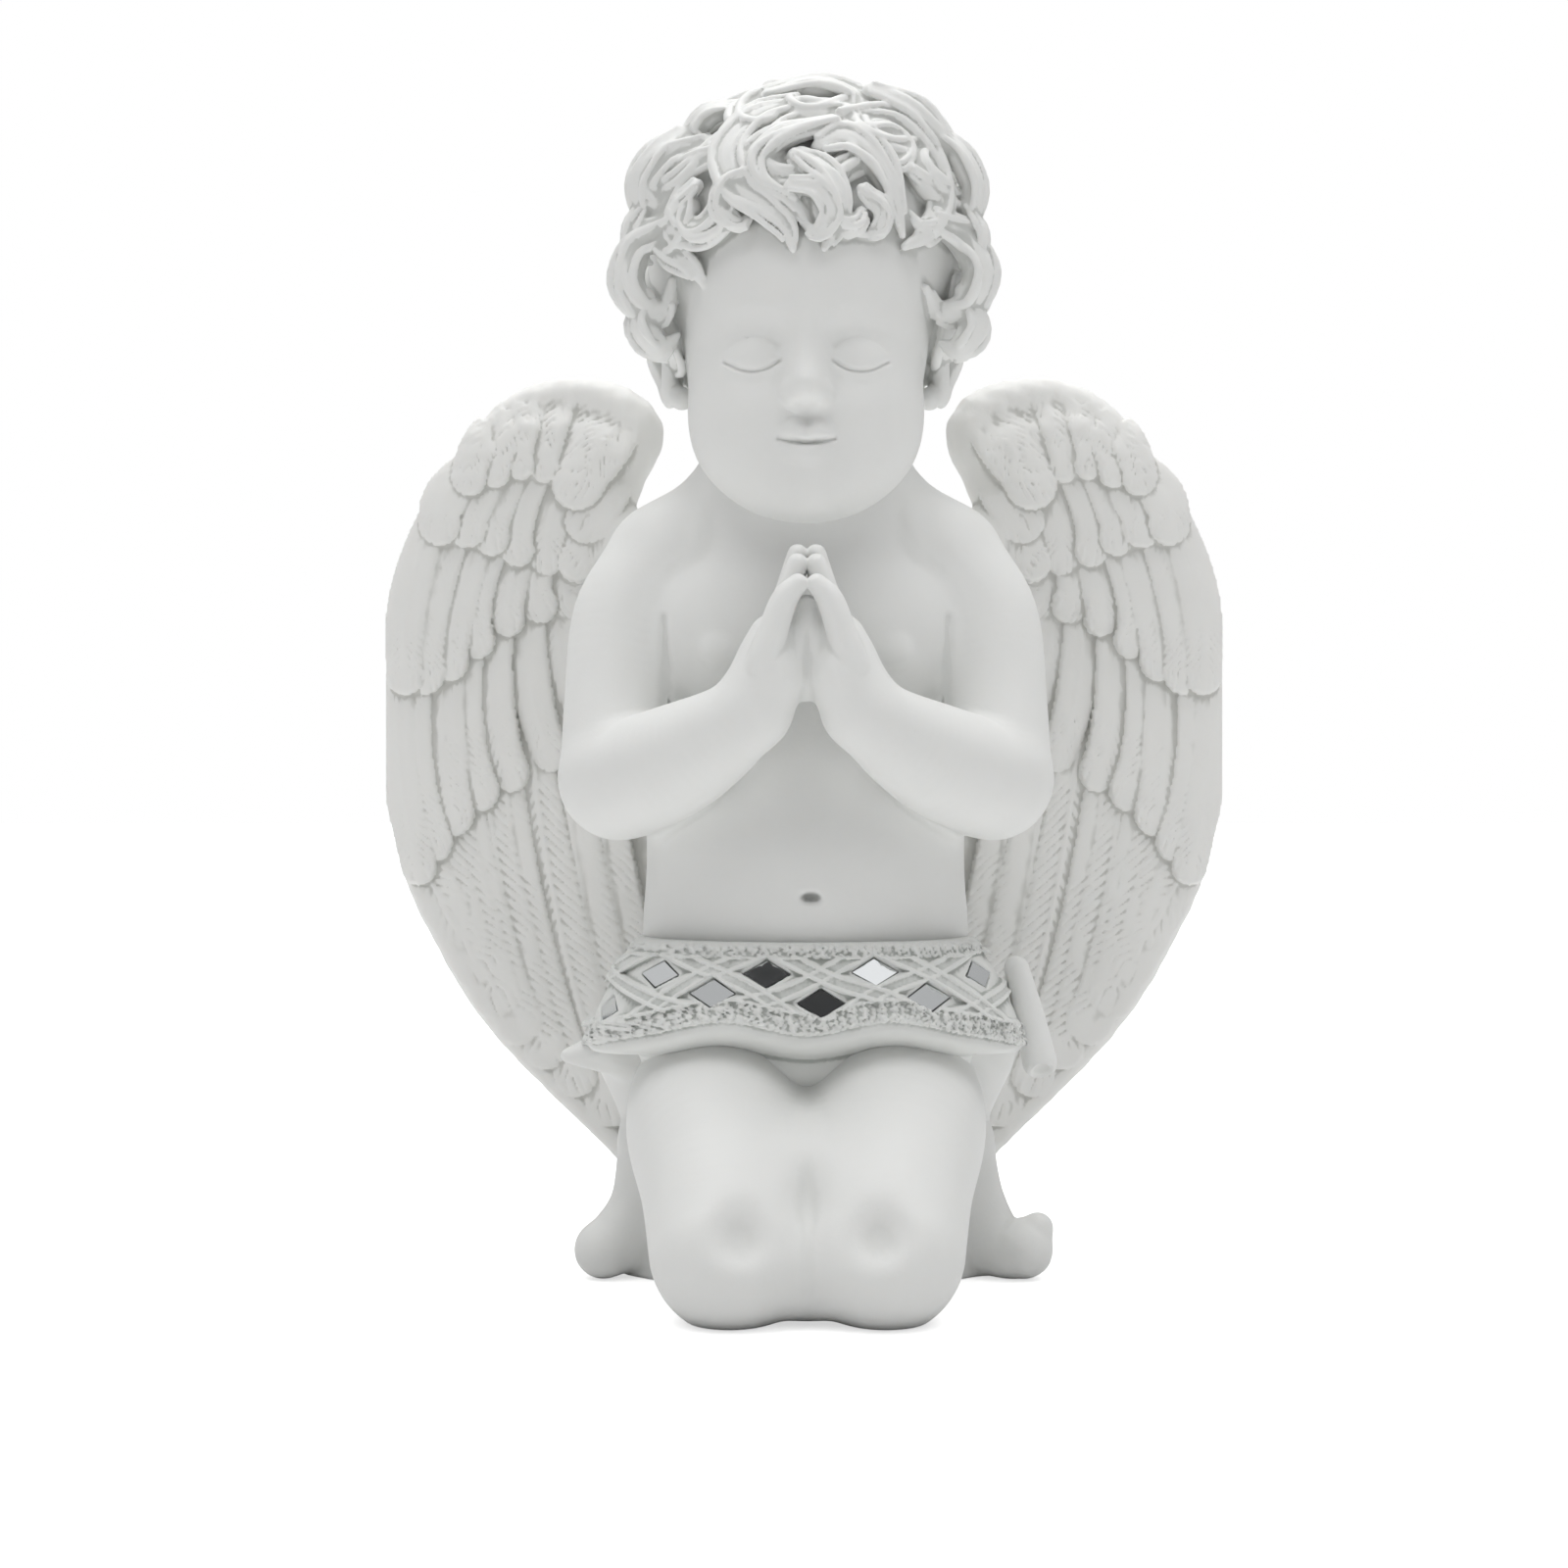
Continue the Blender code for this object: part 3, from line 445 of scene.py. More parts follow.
def band_relief(x, y, z, facing):
    """Height of the band's carving: pebbled borders, and flat strips that cross in a lattice."""
    low = rim_height(x) + LOWER_BORDER
    high = BAND_TOP - UPPER_BORDER
    span = high - low
    share = (z - low) / span
    u = (x - LATTICE_MIDDLE) / (LATTICE_PITCH / 2)
    v = (share - UPPER_ROW) / (UPPER_ROW - LOWER_ROW)
    per_x = facing * 2 / LATTICE_PITCH
    per_z = 1 / (span * (UPPER_ROW - LOWER_ROW))
    slope = np.sqrt(per_x ** 2 + per_z ** 2)
    relief = np.zeros(np.broadcast(x, y, z).shape, np.float32)
    front = y < 6
    for line, over in ((u - v, 0.0), (u + v, 0.25)):
        nearest = np.abs((line + 1) % 2 - 1) / slope
        strip = smoothstep(STRIP_HALF + 0.35, STRIP_HALF - 0.35, nearest)
        profile = STRIP_RAISE + over - 0.5 * smoothstep(1.0, 0.5, nearest)
        relief = np.maximum(relief, strip * profile)
    field = smoothstep(-0.06, 0.0, share) * smoothstep(1.05, 1.0, share)
    relief = relief * field * front
    along = x + 0.8 * y
    turn = 2 * np.pi / PEBBLE_PITCH
    pebble = 0.5 * np.cos(turn * along + 2 * np.sin(z * 2.1)) * np.cos(turn * z + 2 * np.sin(along))
    pebble = smoothstep(-0.3, 0.4, pebble + 0.6 * ripple_noise(x, y, z, PEBBLE_PITCH))
    border_low = smoothstep(-4.3, -3.7, z - low) * smoothstep(0.35, -0.25, z - low)
    border_high = smoothstep(-0.35, 0.25, z - high) * smoothstep(0.1, -0.5, z - BAND_TOP)
    relief = relief + border_low * (0.35 + 0.75 * pebble) + border_high * (0.3 + 0.7 * pebble)
    return relief


# The child

def make_body_clay(cell):
    """Torso, arms, praying hands, legs and feet, run together with soft joins."""
    clay = Clay((-50, -58, -3), (50, 58, 168), cell)
    add_torso(clay)
    add_legs(clay)
    add_arms(clay)
    add_hands(clay)
    return clay


def add_torso(clay):
    """Chest, round belly with its navel, hips, neck, and shoulders that slope from it."""
    clay.ball((0, 6, 120), (29.5, 20, 27), blend=8)
    clay.ball((0, 4, 92), (29.8, 23.5, 29), blend=8)
    clay.ball((0, 3, 80), (29.5, 24.5, 21), blend=6)
    clay.ball((0, 4, 68), (31, 23.5, 20), blend=6)
    clay.ball((0, 9, 54), (33, 26, 20), blend=6)
    clay.balls((14, 8, 139), (18, 12, 9.5), (0, 18, 0), blend=8)
    clay.balls((13, -7, 124), (14, 8.5, 13), blend=7)
    clay.limb([(0, 5, 138, 19), (0, 4, 166, 18.5)], blend=8)
    clay.limbs([(13, 9, 151.5, 7), (27, 9.5, 140.5, 8)], blend=8)
    clay.ball((0.8, -22.4, 74.2), (2.0, 5, 1.0), blend=0.8, cut=True)
    clay.balls((16.8, -14.7, 119.5), (2.4, 1.2, 2.0), blend=2.5)


def add_arms(clay):
    """Upper arms that hang from the shoulders, a slit between arm and chest, and rising forearms."""
    clay.limbs([(26.5, 7, 135.5, 12.3), (33, 3, 126, 11.6), (35.4, -3, 110, 10.3), (35, -8, 97, 11)],
               blend=6)
    for y in (-13, -10, -7, -4):
        clay.limbs([(26.6, y, 126, 0.3), (26.3, y, 118, 0.6), (26.0, y, 106, 0.7)], blend=1.4, cut=True)
    clay.limbs([(35, -9, 95.5, 11), (24.3, -21, 99.2, 10.3), (14.3, -30, 104.8, 7.9),
                (8.8, -32.5, 110.5, 6.2)], blend=2.0)


def add_hands(clay):
    """Palms laid together, with four fingers and a thumb on each and a thin slit down their front."""
    clay.limbs([(9.0, -32, 108, 6.4), (7.8, -31.5, 115, 5.7), (6.0, -31, 121, 4.5)], blend=2.5)
    clay.balls((6.7, -30, 116), (4.6, 8, 9), (0, -18, 0), blend=2.5)
    clay.balls((5.2, -32, 114.5), (4.9, 7.5, 5.5), blend=2.5)
    clay.ball((0, -30.5, 119.5), (4.2, 5.6, 9.5), blend=2)
    for y, tip in ((-37.0, 130.5), (-33.0, 134.4), (-28.8, 136.4), (-24.8, 134.2)):
        clay.limbs([(9.4, y + 4.5, 111, 2.2), (8.0, y + 0.6, 116, 2.9), (6.2, y, 121.5, 2.7),
                    (4.1, y, 127.5, 2.4), (1.7, y, tip, 1.8)], blend=0.45)
    clay.limbs([(7.2, -24, 111, 3.6), (5.4, -22.5, 117, 3.0), (2.8, -22.5, 124, 2.4)], blend=1.0)
    clay.limb([(0, -36.6, 112, 0.6), (0, -36.2, 120, 0.8), (0, -35.8, 127, 0.4)], blend=0.8, cut=True)


def add_legs(clay):
    """Plump thighs that slope to the knees on the table, shins and feet, with a dimple in each knee.
    A bell-shaped dip along the middle parts the knees: depth times exp(-(x / width) ** 2)."""
    for flip in (mirrored, list):
        thigh = [(15.8, 4, 35, 17.5), (15.9, -14, 31.2, 17.4), (14.2, -29, 22.5, 15.7),
                 (13.6, -39.5, 12.8, 14.3)]
        clay.limb(flip(thigh), blend=6)
    clay.ball((0, -31, 20), (7, 11.5, 13), blend=8)
    clay.limbs([(13.6, -36, 10.5, 12.2), (15.5, -10, 8, 10.5), (15, 24, 7, 8.5)], blend=2.5)
    clay.limbs([(14.5, 30, 7, 8), (12, 42, 7.5, 7), (10, 49, 6.5, 5.6)], blend=3)
    clay.ball((0, -37.5, 10.6), (6.5, 12.8, 10.5), blend=5)
    for x in (-11.3, 12.0):
        clay.dimple((x, -52.5, 17.5), 4.8, 4.3)
    part, (x, y, z) = clay.window((-9, -58, -3), (9, -30, 40))
    crease = 1.6 * np.exp(-(x / 2.6) ** 2) * smoothstep(-32, -44, y) * smoothstep(38, 24, z)
    clay.d[part] += crease * (0.4 + 0.6 * smoothstep(0, 8, z))


# The head

HAIR_MIDDLE = np.array((0.0, 6.0, 195.5))
HAIR_RADII = np.array((30.2, 30.0, 30.5))
FOREHEAD_MIDDLE = (0.0, -5.0, 186.0)
FOREHEAD_RADII = (22.0, 22.0, 21.0)
FACE_TOP = 203.0
FACE_HALF = 30.0
FACE_DROP = 16.2
HAIR_FOOT = 179.0
LOCK_COUNT = 64
LOCK_LENGTH = 31.0
LOCK_THICKNESS = 3.5
LOCK_POINTS = 10
STRANDS = 6
GOLDEN_ANGLE = math.pi * (3 - math.sqrt(5))

# Small curls on top of the others, in the same form as the locks round the forehead
SMALL_CURLS = [
    ([(-20, 205), (-24, 201), (-23, 196.5), (-19, 196.5), (-18.5, 199.5)], 2.3, 3.6),
    ([(19, 208), (24, 205), (25, 200), (21.5, 197.5), (19, 200)], 2.3, 3.8),
    ([(-12, 221), (-18, 219.5), (-21, 215), (-18, 211.5), (-14.5, 213.5)], 2.4, 2.6),
    ([(9, 214), (15, 215), (18, 211.5), (16, 208), (12.5, 209.5)], 2.3, 4.2),
    ([(-9, 206), (-14, 204), (-15.5, 199.5), (-12, 196.5), (-9.5, 199)], 2.2, 4.4),
    ([(-3, 203), (2, 202), (4.5, 198), (2, 194.5), (-1, 196.5)], 2.1, 4.4),
    ([(10, 203), (13.5, 199.5), (13, 195.5), (9.5, 194.5)], 2.0, 2.8),
    ([(1, 219), (7, 219), (10, 215.5), (7.5, 212)], 2.3, 4.0),
]

# Locks round the forehead as they are seen from the front: (x, z) points, thickness and lift
FRONT_LOCKS = [
    ([(-1, 220), (-9, 217), (-14, 210), (-12, 203), (-7, 199), (-3.5, 195.5), (-2.5, 191.5)], 3.4, 3.0),
    ([(5, 216), (-4, 213), (-9, 208.5), (-8, 203.5), (-2.5, 200), (0.5, 196)], 3.0, 4.2),
    ([(-2, 209), (2.5, 205.5), (5.5, 201.5), (5, 196.5), (3.2, 191.6)], 3.1, 3.2),
    ([(2.5, 211), (7, 212.5), (12, 209), (15.5, 203), (17.6, 195.5)], 3.2, 2.6),
    ([(6, 217), (15, 218), (21.5, 212), (24.5, 203.5), (22.5, 197), (18, 193.5)], 3.7, 3.0),
    ([(-14, 211), (-22, 208), (-26, 200.5), (-25, 194.5), (-21, 190.5), (-18.8, 186.8)], 3.3, 2.4),
    ([(23, 199), (28.5, 197), (32, 191), (29.7, 184.5), (24.5, 183.5), (22.2, 187)], 3.6, 2.2),
    ([(-25, 199), (-31, 196), (-33, 189), (-30, 183.5), (-26, 184), (-25, 189)], 3.6, 2.2),
    ([(-29.8, 186), (-30.3, 180.5), (-27, 176.5), (-24, 179)], 3.1, 1.6),
    ([(29.3, 187), (31.2, 181), (28.4, 176.5), (25.3, 177.5)], 3.1, 1.6),
    ([(-18, 214), (-25, 212), (-29, 206), (-25, 202), (-22, 206)], 3.1, 2.4),
    ([(-7, 223), (2, 224.6), (9, 222), (9, 217.5), (4, 217)], 3.2, 2.0),
    ([(12, 224), (20, 220), (25, 214), (22.5, 210.5)], 3.3, 2.2),
    ([(-22.5, 216.5), (-27.5, 212.5), (-30.8, 206.5), (-29.5, 201), (-26, 202.5)], 2.9, 1.4),
    ([(22.5, 217), (27.8, 213), (31, 207), (30, 201), (26.5, 202)], 2.9, 1.4),
    ([(-29.5, 204), (-32, 199), (-31.8, 194), (-29, 192.5)], 2.5, 1.2),
    ([(29.5, 203), (32, 198), (31.5, 193), (29, 192)], 2.5, 1.2),
]


def make_head_clay(cell):
    """Head with its face and ears, and the thick curls over it."""
    clay = Clay((-42, -40, 138), (42, 42, 232), cell)
    add_skull(clay)
    add_face(clay)
    add_ears(clay)
    add_hair(clay)
    return clay


def add_skull(clay):
    """Skull, broad forehead, full cheeks and a small round chin."""
    clay.ball((0, 4, 189), (24.6, 28, 27.5), blend=8)
    clay.ball(FOREHEAD_MIDDLE, FOREHEAD_RADII, blend=6)
    clay.ball((0, -4, 170), (21.7, 21.5, 22), blend=6)
    clay.balls((10.1, -13, 161), (11.0, 11.2, 13), blend=7)
    clay.ball((0, -12, 153), (12.5, 13, 9.8), blend=6)
    clay.ball((0, -20.5, 149.8), (5.6, 4.6, 4.6), blend=4)


def carve_front(clay, line, width, depth):
    """Groove on the front of the head along a line of (x, z) points: a bell-shaped dip, or a ridge
    where depth is negative, that depends on the distance to the line as seen from the front."""
    line = smooth_path(line, 6)
    low = line.min(0) - 3 * width - 1
    high = line.max(0) + 3 * width + 1
    part, (x, y, z) = clay.window((low[0], -40, low[1]), (high[0], -12, high[1]))
    nearest = np.full(np.broadcast(x, z).shape, 1e9, np.float32)
    for start, end in zip(line[:-1], line[1:]):
        nearest = np.minimum(nearest, off_line(x, z, start, end)[0])
    clay.d[part] += depth * np.exp(-(nearest / width) ** 2)


# Lines round a closed eye as (x, z) points, with their width and depth
LASHES = ([(4.9, 171.9), (7.2, 170.6), (9.8, 170.1), (12.4, 170.6), (14.8, 171.9)], 0.4, 0.7)
LID_CREASE = ([(5.2, 174.6), (7.6, 176.0), (10.2, 176.3), (12.8, 175.4), (14.8, 174.0)], 0.6, 0.22)
BROW = ([(4.6, 180.0), (8.4, 182.0), (12.6, 182.0), (16.8, 179.6)], 2.6, -0.35)


def add_face(clay):
    """A calm child's face of plain proportions, with closed eyes, a short nose and a soft mouth."""
    clay.balls((9.2, -29.4, 173.6), (6.2, 4.2, 4.4), blend=7, cut=True)
    clay.balls((9.4, -20.0, 172.4), (5.1, 4.2, 3.9), blend=3)
    clay.limb([(0, -21.6, 179.5, 2.0), (0, -25.0, 172.2, 2.1), (0, -27.8, 167.2, 2.6)], blend=5.5)
    clay.balls((2.3, -26.2, 165.8), (1.8, 2.2, 1.8), blend=1.6)
    clay.balls((1.4, -27.4, 163.2), (0.7, 1.2, 0.6), blend=0.6, cut=True)
    clay.limb([(-4.9, -23.4, 157.6, 0.7), (-2.0, -25.4, 158.9, 1.5), (0, -25.5, 158.3, 1.3),
               (2.0, -25.4, 158.9, 1.5), (4.9, -23.4, 157.6, 0.7)], blend=1.8)
    clay.limb([(-3.8, -23.2, 156.0, 0.8), (0, -25.1, 154.7, 1.9), (3.8, -23.2, 156.0, 0.8)], blend=1.8)
    clay.ball((0, -27.6, 161.8), (1.0, 1.6, 1.4), blend=1.5, cut=True)
    carve_front(clay, [(-5.1, 157.7), (-2.4, 157.1), (0, 156.8), (2.4, 157.1), (5.1, 157.7)], 0.45, 0.8)
    for side in (-1, 1):
        for line, width, depth in (LASHES, LID_CREASE, BROW):
            carve_front(clay, [(side * x, z) for x, z in line], width, depth)


def add_ears(clay):
    """Small ears: a rim round a hollow, with a lobe."""
    clay.balls((26, 4, 173), (2.4, 4.2, 6.0), blend=1.5)
    clay.balls((29.2, 3.2, 173.5), (2.4, 2.4, 3.8), blend=1.0, cut=True)
    clay.limbs([(25.5, -1, 178, 1.5), (28, 2, 179.6, 1.6), (28.8, 5.4, 176.5, 1.7), (26.6, 4.6, 171.5, 1.7),
                (23.6, 0.5, 168.4, 2.2)], blend=0.8)


def front_of_head(x, z, lift):
    """How far forward the hair's mass or the forehead comes at x and z, and lift more."""
    nearest = 1e9
    for (cx, cy, cz), (rx, ry, rz) in ((HAIR_MIDDLE, HAIR_RADII), (FOREHEAD_MIDDLE, FOREHEAD_RADII)):
        inside = 1 - ((x - cx) / rx) ** 2 - ((z - cz) / rz) ** 2
        nearest = min(nearest, cy - ry * math.sqrt(max(inside, 0.02)))
    return nearest - lift


def hair_frame(direction):
    """Point on the hair's mass in a direction, with two vectors along the surface there, level and up."""
    point = HAIR_MIDDLE + direction * HAIR_RADII
    normal = direction / HAIR_RADII
    normal /= np.linalg.norm(normal)
    across = np.cross((0.0, 0.3, 1.0), normal)
    across /= np.linalg.norm(across)
    return point, across, np.cross(normal, across)


def lock_of_hair(direction, heading, hand, size):
    """A lock on the hair's mass that winds in ever faster towards its tip: its path with its thickness."""
    start, across, up = hair_frame(direction)
    step = LOCK_LENGTH * size / LOCK_POINTS
    flat = -2.5 * step * np.array((math.cos(heading), math.sin(heading)))
    path = []
    for t in np.linspace(0, 1, LOCK_POINTS):
        point = start + flat[0] * across + flat[1] * up
        outward = (point - HAIR_MIDDLE) / HAIR_RADII
        outward /= np.linalg.norm(outward)
        point = HAIR_MIDDLE + outward * (HAIR_RADII + 0.3 + 1.8 * t)
        path.append((*point, LOCK_THICKNESS * size * (0.75 + 0.35 * math.sin(math.pi * t) - 0.35 * t ** 3)))
        angle = heading + hand * (0.5 * t + 4.2 * t * t)
        flat = flat + step * (1 - 0.45 * t) * np.array((math.cos(angle), math.sin(angle)))
    return path


def on_the_face(point):
    """Whether a lock there would cover the face, the ears or the neck."""
    x, y, z = point
    before_face = y < -6 and z < FACE_TOP - FACE_DROP * (x / FACE_HALF) ** 2
    below_hair = z < HAIR_FOOT - 0.55 * max(y, 0)
    return before_face or below_hair


def add_lock(clay, path, seed):
    """A lock as a core with thin strands side by side on it, each a little higher or lower."""
    rows = smooth_path(path, 4)
    core = rows.copy()
    core[:, 3] *= 0.7
    clay.limb(core, blend=0.4, steps=1)
    along = np.gradient(rows[:, :3], axis=0)
    outward = (rows[:, :3] - HAIR_MIDDLE) / HAIR_RADII ** 2
    side = np.cross(along, outward)
    side /= np.linalg.norm(side, axis=1)[:, None] + 1e-9
    outward /= np.linalg.norm(outward, axis=1)[:, None]
    t = np.linspace(0, 1, len(rows))
    for k in range(STRANDS):
        share = 2 * (k + 0.5) / STRANDS - 1
        sway = 0.14 * np.sin(2 * np.pi * (1.3 * t + 0.37 * k + 0.61 * seed))
        lift = 0.5 * np.sqrt(1 - 0.8 * share * share) + 0.24 * math.sin(5.1 * k + 2.3 * seed)
        strand = rows.copy()
        strand[:, :3] += side * (rows[:, 3] * (0.86 * share + sway))[:, None]
        strand[:, :3] += outward * (rows[:, 3] * lift)[:, None]
        swell = 1 + 0.2 * np.sin(2 * np.pi * (2.1 * t + 0.43 * k + 0.29 * seed))
        strand[:, 3] = rows[:, 3] * (1.0 / STRANDS + 0.035) * swell + 0.1
        curl = 0.35 * np.maximum(t - 0.6, 0) * math.sin(3.7 * k + 1.9 * seed)
        strand[:, :3] += (side + outward) * (rows[:, 3] * curl)[:, None]
        reach = 0.84 + 0.16 * math.sin(2.9 * k + 4.3 * seed) ** 2
        clay.limb(strand[:max(3, int(reach * len(rows)))], blend=0.12, steps=1)


def add_hair(clay):
    """Thick short curls: a rounded mass, locks spread evenly over it, and locks round the forehead."""
    clay.ball(HAIR_MIDDLE, HAIR_RADII, blend=1.0)
    clay.ball((0, 11, 183), (27.4, 21.5, 20), blend=3.0)
    clay.ball((0, 10, 174), (22, 15.5, 13), blend=3.0)
    for i in range(LOCK_COUNT):
        height = 1 - 2 * (i + 0.5) / LOCK_COUNT
        around = i * GOLDEN_ANGLE
        level = math.sqrt(1 - height * height)
        direction = np.array((level * math.sin(around), -level * math.cos(around), height))
        if on_the_face(hair_frame(direction)[0]):
            continue
        size = 0.85 + 0.3 * (i * 0.37 % 1)
        heading = -math.pi / 2 + math.sin(2.3 * i)
        add_lock(clay, lock_of_hair(direction, heading, 1 if i % 2 else -1, size), i)
    for number, (line, thickness, lift) in enumerate(FRONT_LOCKS + SMALL_CURLS):
        path = []
        for i, (x, z) in enumerate(line):
            share = i / (len(line) - 1)
            radius = thickness * (0.75 + 0.45 * math.sin(math.pi * share ** 0.8) - 0.45 * share ** 3)
            path.append((x, front_of_head(x, z, 0.3 + lift * (1 - 0.55 * share)), z, radius))
        add_lock(clay, path, number + 0.5)


# The wings

# Rows of feather tips on a wing, outer end, middle and inner end, as (outward, up). The first row is
# only the crest that the next one hangs from.
FEATHER_TIPS = [
    [(60, 169), (50, 172), (36, 168)],
    [(66.5, 158), (55, 157), (42, 155)],
    [(74.5, 146), (60, 144), (45, 141)],
    [(80.8, 117), (66, 124), (47, 132)],
    [(78.3, 80), (66, 92), (42, 109)],
    [(71.5, 70), (55, 44.5), (23, 20)],
]
FEATHER_COUNTS = (0, 6, 6, 7, 7, 10)
FEATHER_HALVES = [0.0, 3.4, 4.0, 4.0, 4.3, 5.0]
SHOULDER_FEATHERS = [
    [(34, 170), (40, 164), (45, 155)],
    [(37, 159), (40, 153), (43, 147.5)],
    [(38, 150), (42, 145), (45, 139.5)],
]
SHOULDER_HALF = 5.0
ROW_STEP = 1.15
FEATHER_TILT = 0.24

# A wing's leading edge as (outward, back, up, radius), and the ribs of its web as (outward, up, reach)
WING_CREST = [(66, 31.5, 162, 2.4), (59, 31.5, 170, 3.0), (48, 30.5, 173.2, 3.6), (38, 28.8, 170.5, 4.6),
              (33.5, 27.8, 165, 5.2), (36.5, 27, 156, 4.5), (38, 26, 148, 5.0), (30, 24, 136, 8.0),
              (20, 22, 122, 9.0)]
WING_EDGE = [(79.5, 84), (77.8, 75), (72.8, 64.5), (66.5, 53.5), (58.8, 43.5), (50, 34.5), (41, 26),
             (34, 19)]
WING_EDGE_RADIUS = 2.6
WING_WEB = [
    [(41, 163, 7), (50, 163, 9), (59, 150, 11), (67, 124, 12), (63, 96, 12), (53, 66, 12), (38, 42, 10),
     (26, 28, 8)],
    [(45, 158, 8), (42, 140, 10), (36, 122, 15), (30, 100, 19), (26, 70, 18), (22, 45, 13)],
]


def wing_depth(out, up):
    """How far behind the middle a wing's plane lies: it sweeps back outwards and towards its foot."""
    return 27.5 + 0.15 * (out - 15) + 0.06 * np.maximum(60 - up, 0)


def feather_lines():
    """Every feather of a wing: its row and number, how far it stands forward, midline and half width."""
    rows = len(FEATHER_TIPS)
    for row in range(rows - 1, 0, -1):
        flight = row == rows - 1
        for i in range(FEATHER_COUNTS[row]):
            t = i / (FEATHER_COUNTS[row] - 1)
            tip = through(FEATHER_TIPS[row], t)
            above = through(FEATHER_TIPS[row - 1], t)
            beyond = 0.12 if flight else 0.25
            root = above + (above - tip) * beyond
            if not flight:
                tip = tip + (tip - root) / np.hypot(*(tip - root)) * 2.0 * math.sin(7.3 * i + 2.1 * row)
            bow = np.array((1.0, -0.5)) * (1.5 + 5 * t) if flight else np.array((2.0 + 1.1 * row, -0.5))
            bow = bow * (1 + 0.35 * math.sin(3.7 * i + row))
            line = bezier(root, (root + tip) / 2 + bow, tip)
            yield row, i, ROW_STEP * (rows - row), line, FEATHER_HALVES[row]
    for number, line in enumerate(SHOULDER_FEATHERS):
        yield 1, number, ROW_STEP * (rows + 0.6 - 0.4 * number), bezier(*line), SHOULDER_HALF


def wing_relief(cell):
    """Over a level raster of (out, up): how far the feathers stand in front of the wing's plane, with
    and without their strokes, and the distance to the wing's outline, less than 0 inside.

    A feather's surface is its row's step, sunk at the root in the first row, rising towards its tip,
    with a dome across it, one edge tilted up over its neighbour, and the strokes cut in it.
    """
    out = np.arange(6, 90, cell)
    up = np.arange(6, 182, cell)
    U, V = np.meshgrid(out, up, indexing="ij")
    plain = np.full(U.shape, -1.0)
    fine = np.full(U.shape, -1.0)
    outline = np.full(U.shape, 9.0)
    for line in WING_WEB:
        rib = smooth_path(line, 6)
        for start, end in zip(rib[:-1], rib[1:]):
            off, share, _ = off_line(U, V, start[:2], end[:2])
            outline = np.minimum(outline, off - (start[2] + share * (end[2] - start[2])))
    plain[outline < 0] = 0.6
    fine[outline < 0] = 0.6
    for row, number, forward, line, half in feather_lines():
        half = half * (1 + 0.13 * math.sin(5.1 * number + row))
        low, high = line.min(0) - half - 2, line.max(0) + half + 2
        i0, i1 = np.searchsorted(out, (low[0], high[0]))
        j0, j1 = np.searchsorted(up, (low[1], high[1]))
        part = (slice(i0, i1), slice(j0, j1))
        u, v = U[part], V[part]
        nearest = np.full(u.shape, 1e9)
        share_at = np.zeros(u.shape)
        across = np.zeros(u.shape)
        for j, (start, end) in enumerate(zip(line[:-1], line[1:])):
            off, share, side = off_line(u, v, start, end)
            closer = off < nearest
            nearest = np.where(closer, off, nearest)
            share_at = np.where(closer, (j + share) / (len(line) - 1), share_at)
            across = np.where(closer, side, across)
        length = np.hypot(*(line[1:] - line[:-1]).T).sum()
        width = half * (0.75 + 0.35 * np.sin(np.pi * np.minimum(share_at * 1.15, 1) / 1.3))
        edge = nearest - width
        inside = edge < 0
        dome = 1.15 * np.sqrt(np.clip(1 - (nearest / width) ** 2.5, 0, 1))
        sunk = 0.55 * smoothstep(0.55, 0.0, share_at) if row == 1 else 0.0
        smooth = forward * (1 - sunk) + 1.2 * share_at + dome + FEATHER_TILT * np.clip(across, -half, half)
        strokes = feather_strokes(u, v, row, number, share_at * length, across, share_at)
        plain[part] = np.where(inside, np.maximum(plain[part], smooth), plain[part])
        fine[part] = np.where(inside, np.maximum(fine[part], smooth + strokes), fine[part])
        outline[part] = np.minimum(outline[part], np.where(share_at < 0.3, edge + 9 * (row == 1), edge))
    return out, up, plain, fine, outline


def off_line(u, v, start, end):
    """Distance of points to a straight line, the share along it, and the signed distance across it."""
    along = end - start
    share = np.clip(((u - start[0]) * along[0] + (v - start[1]) * along[1]) / (along @ along), 0, 1)
    du, dv = u - start[0] - share * along[0], v - start[1] - share * along[1]
    return np.hypot(du, dv), share, (du * along[1] - dv * along[0]) / np.hypot(*along)


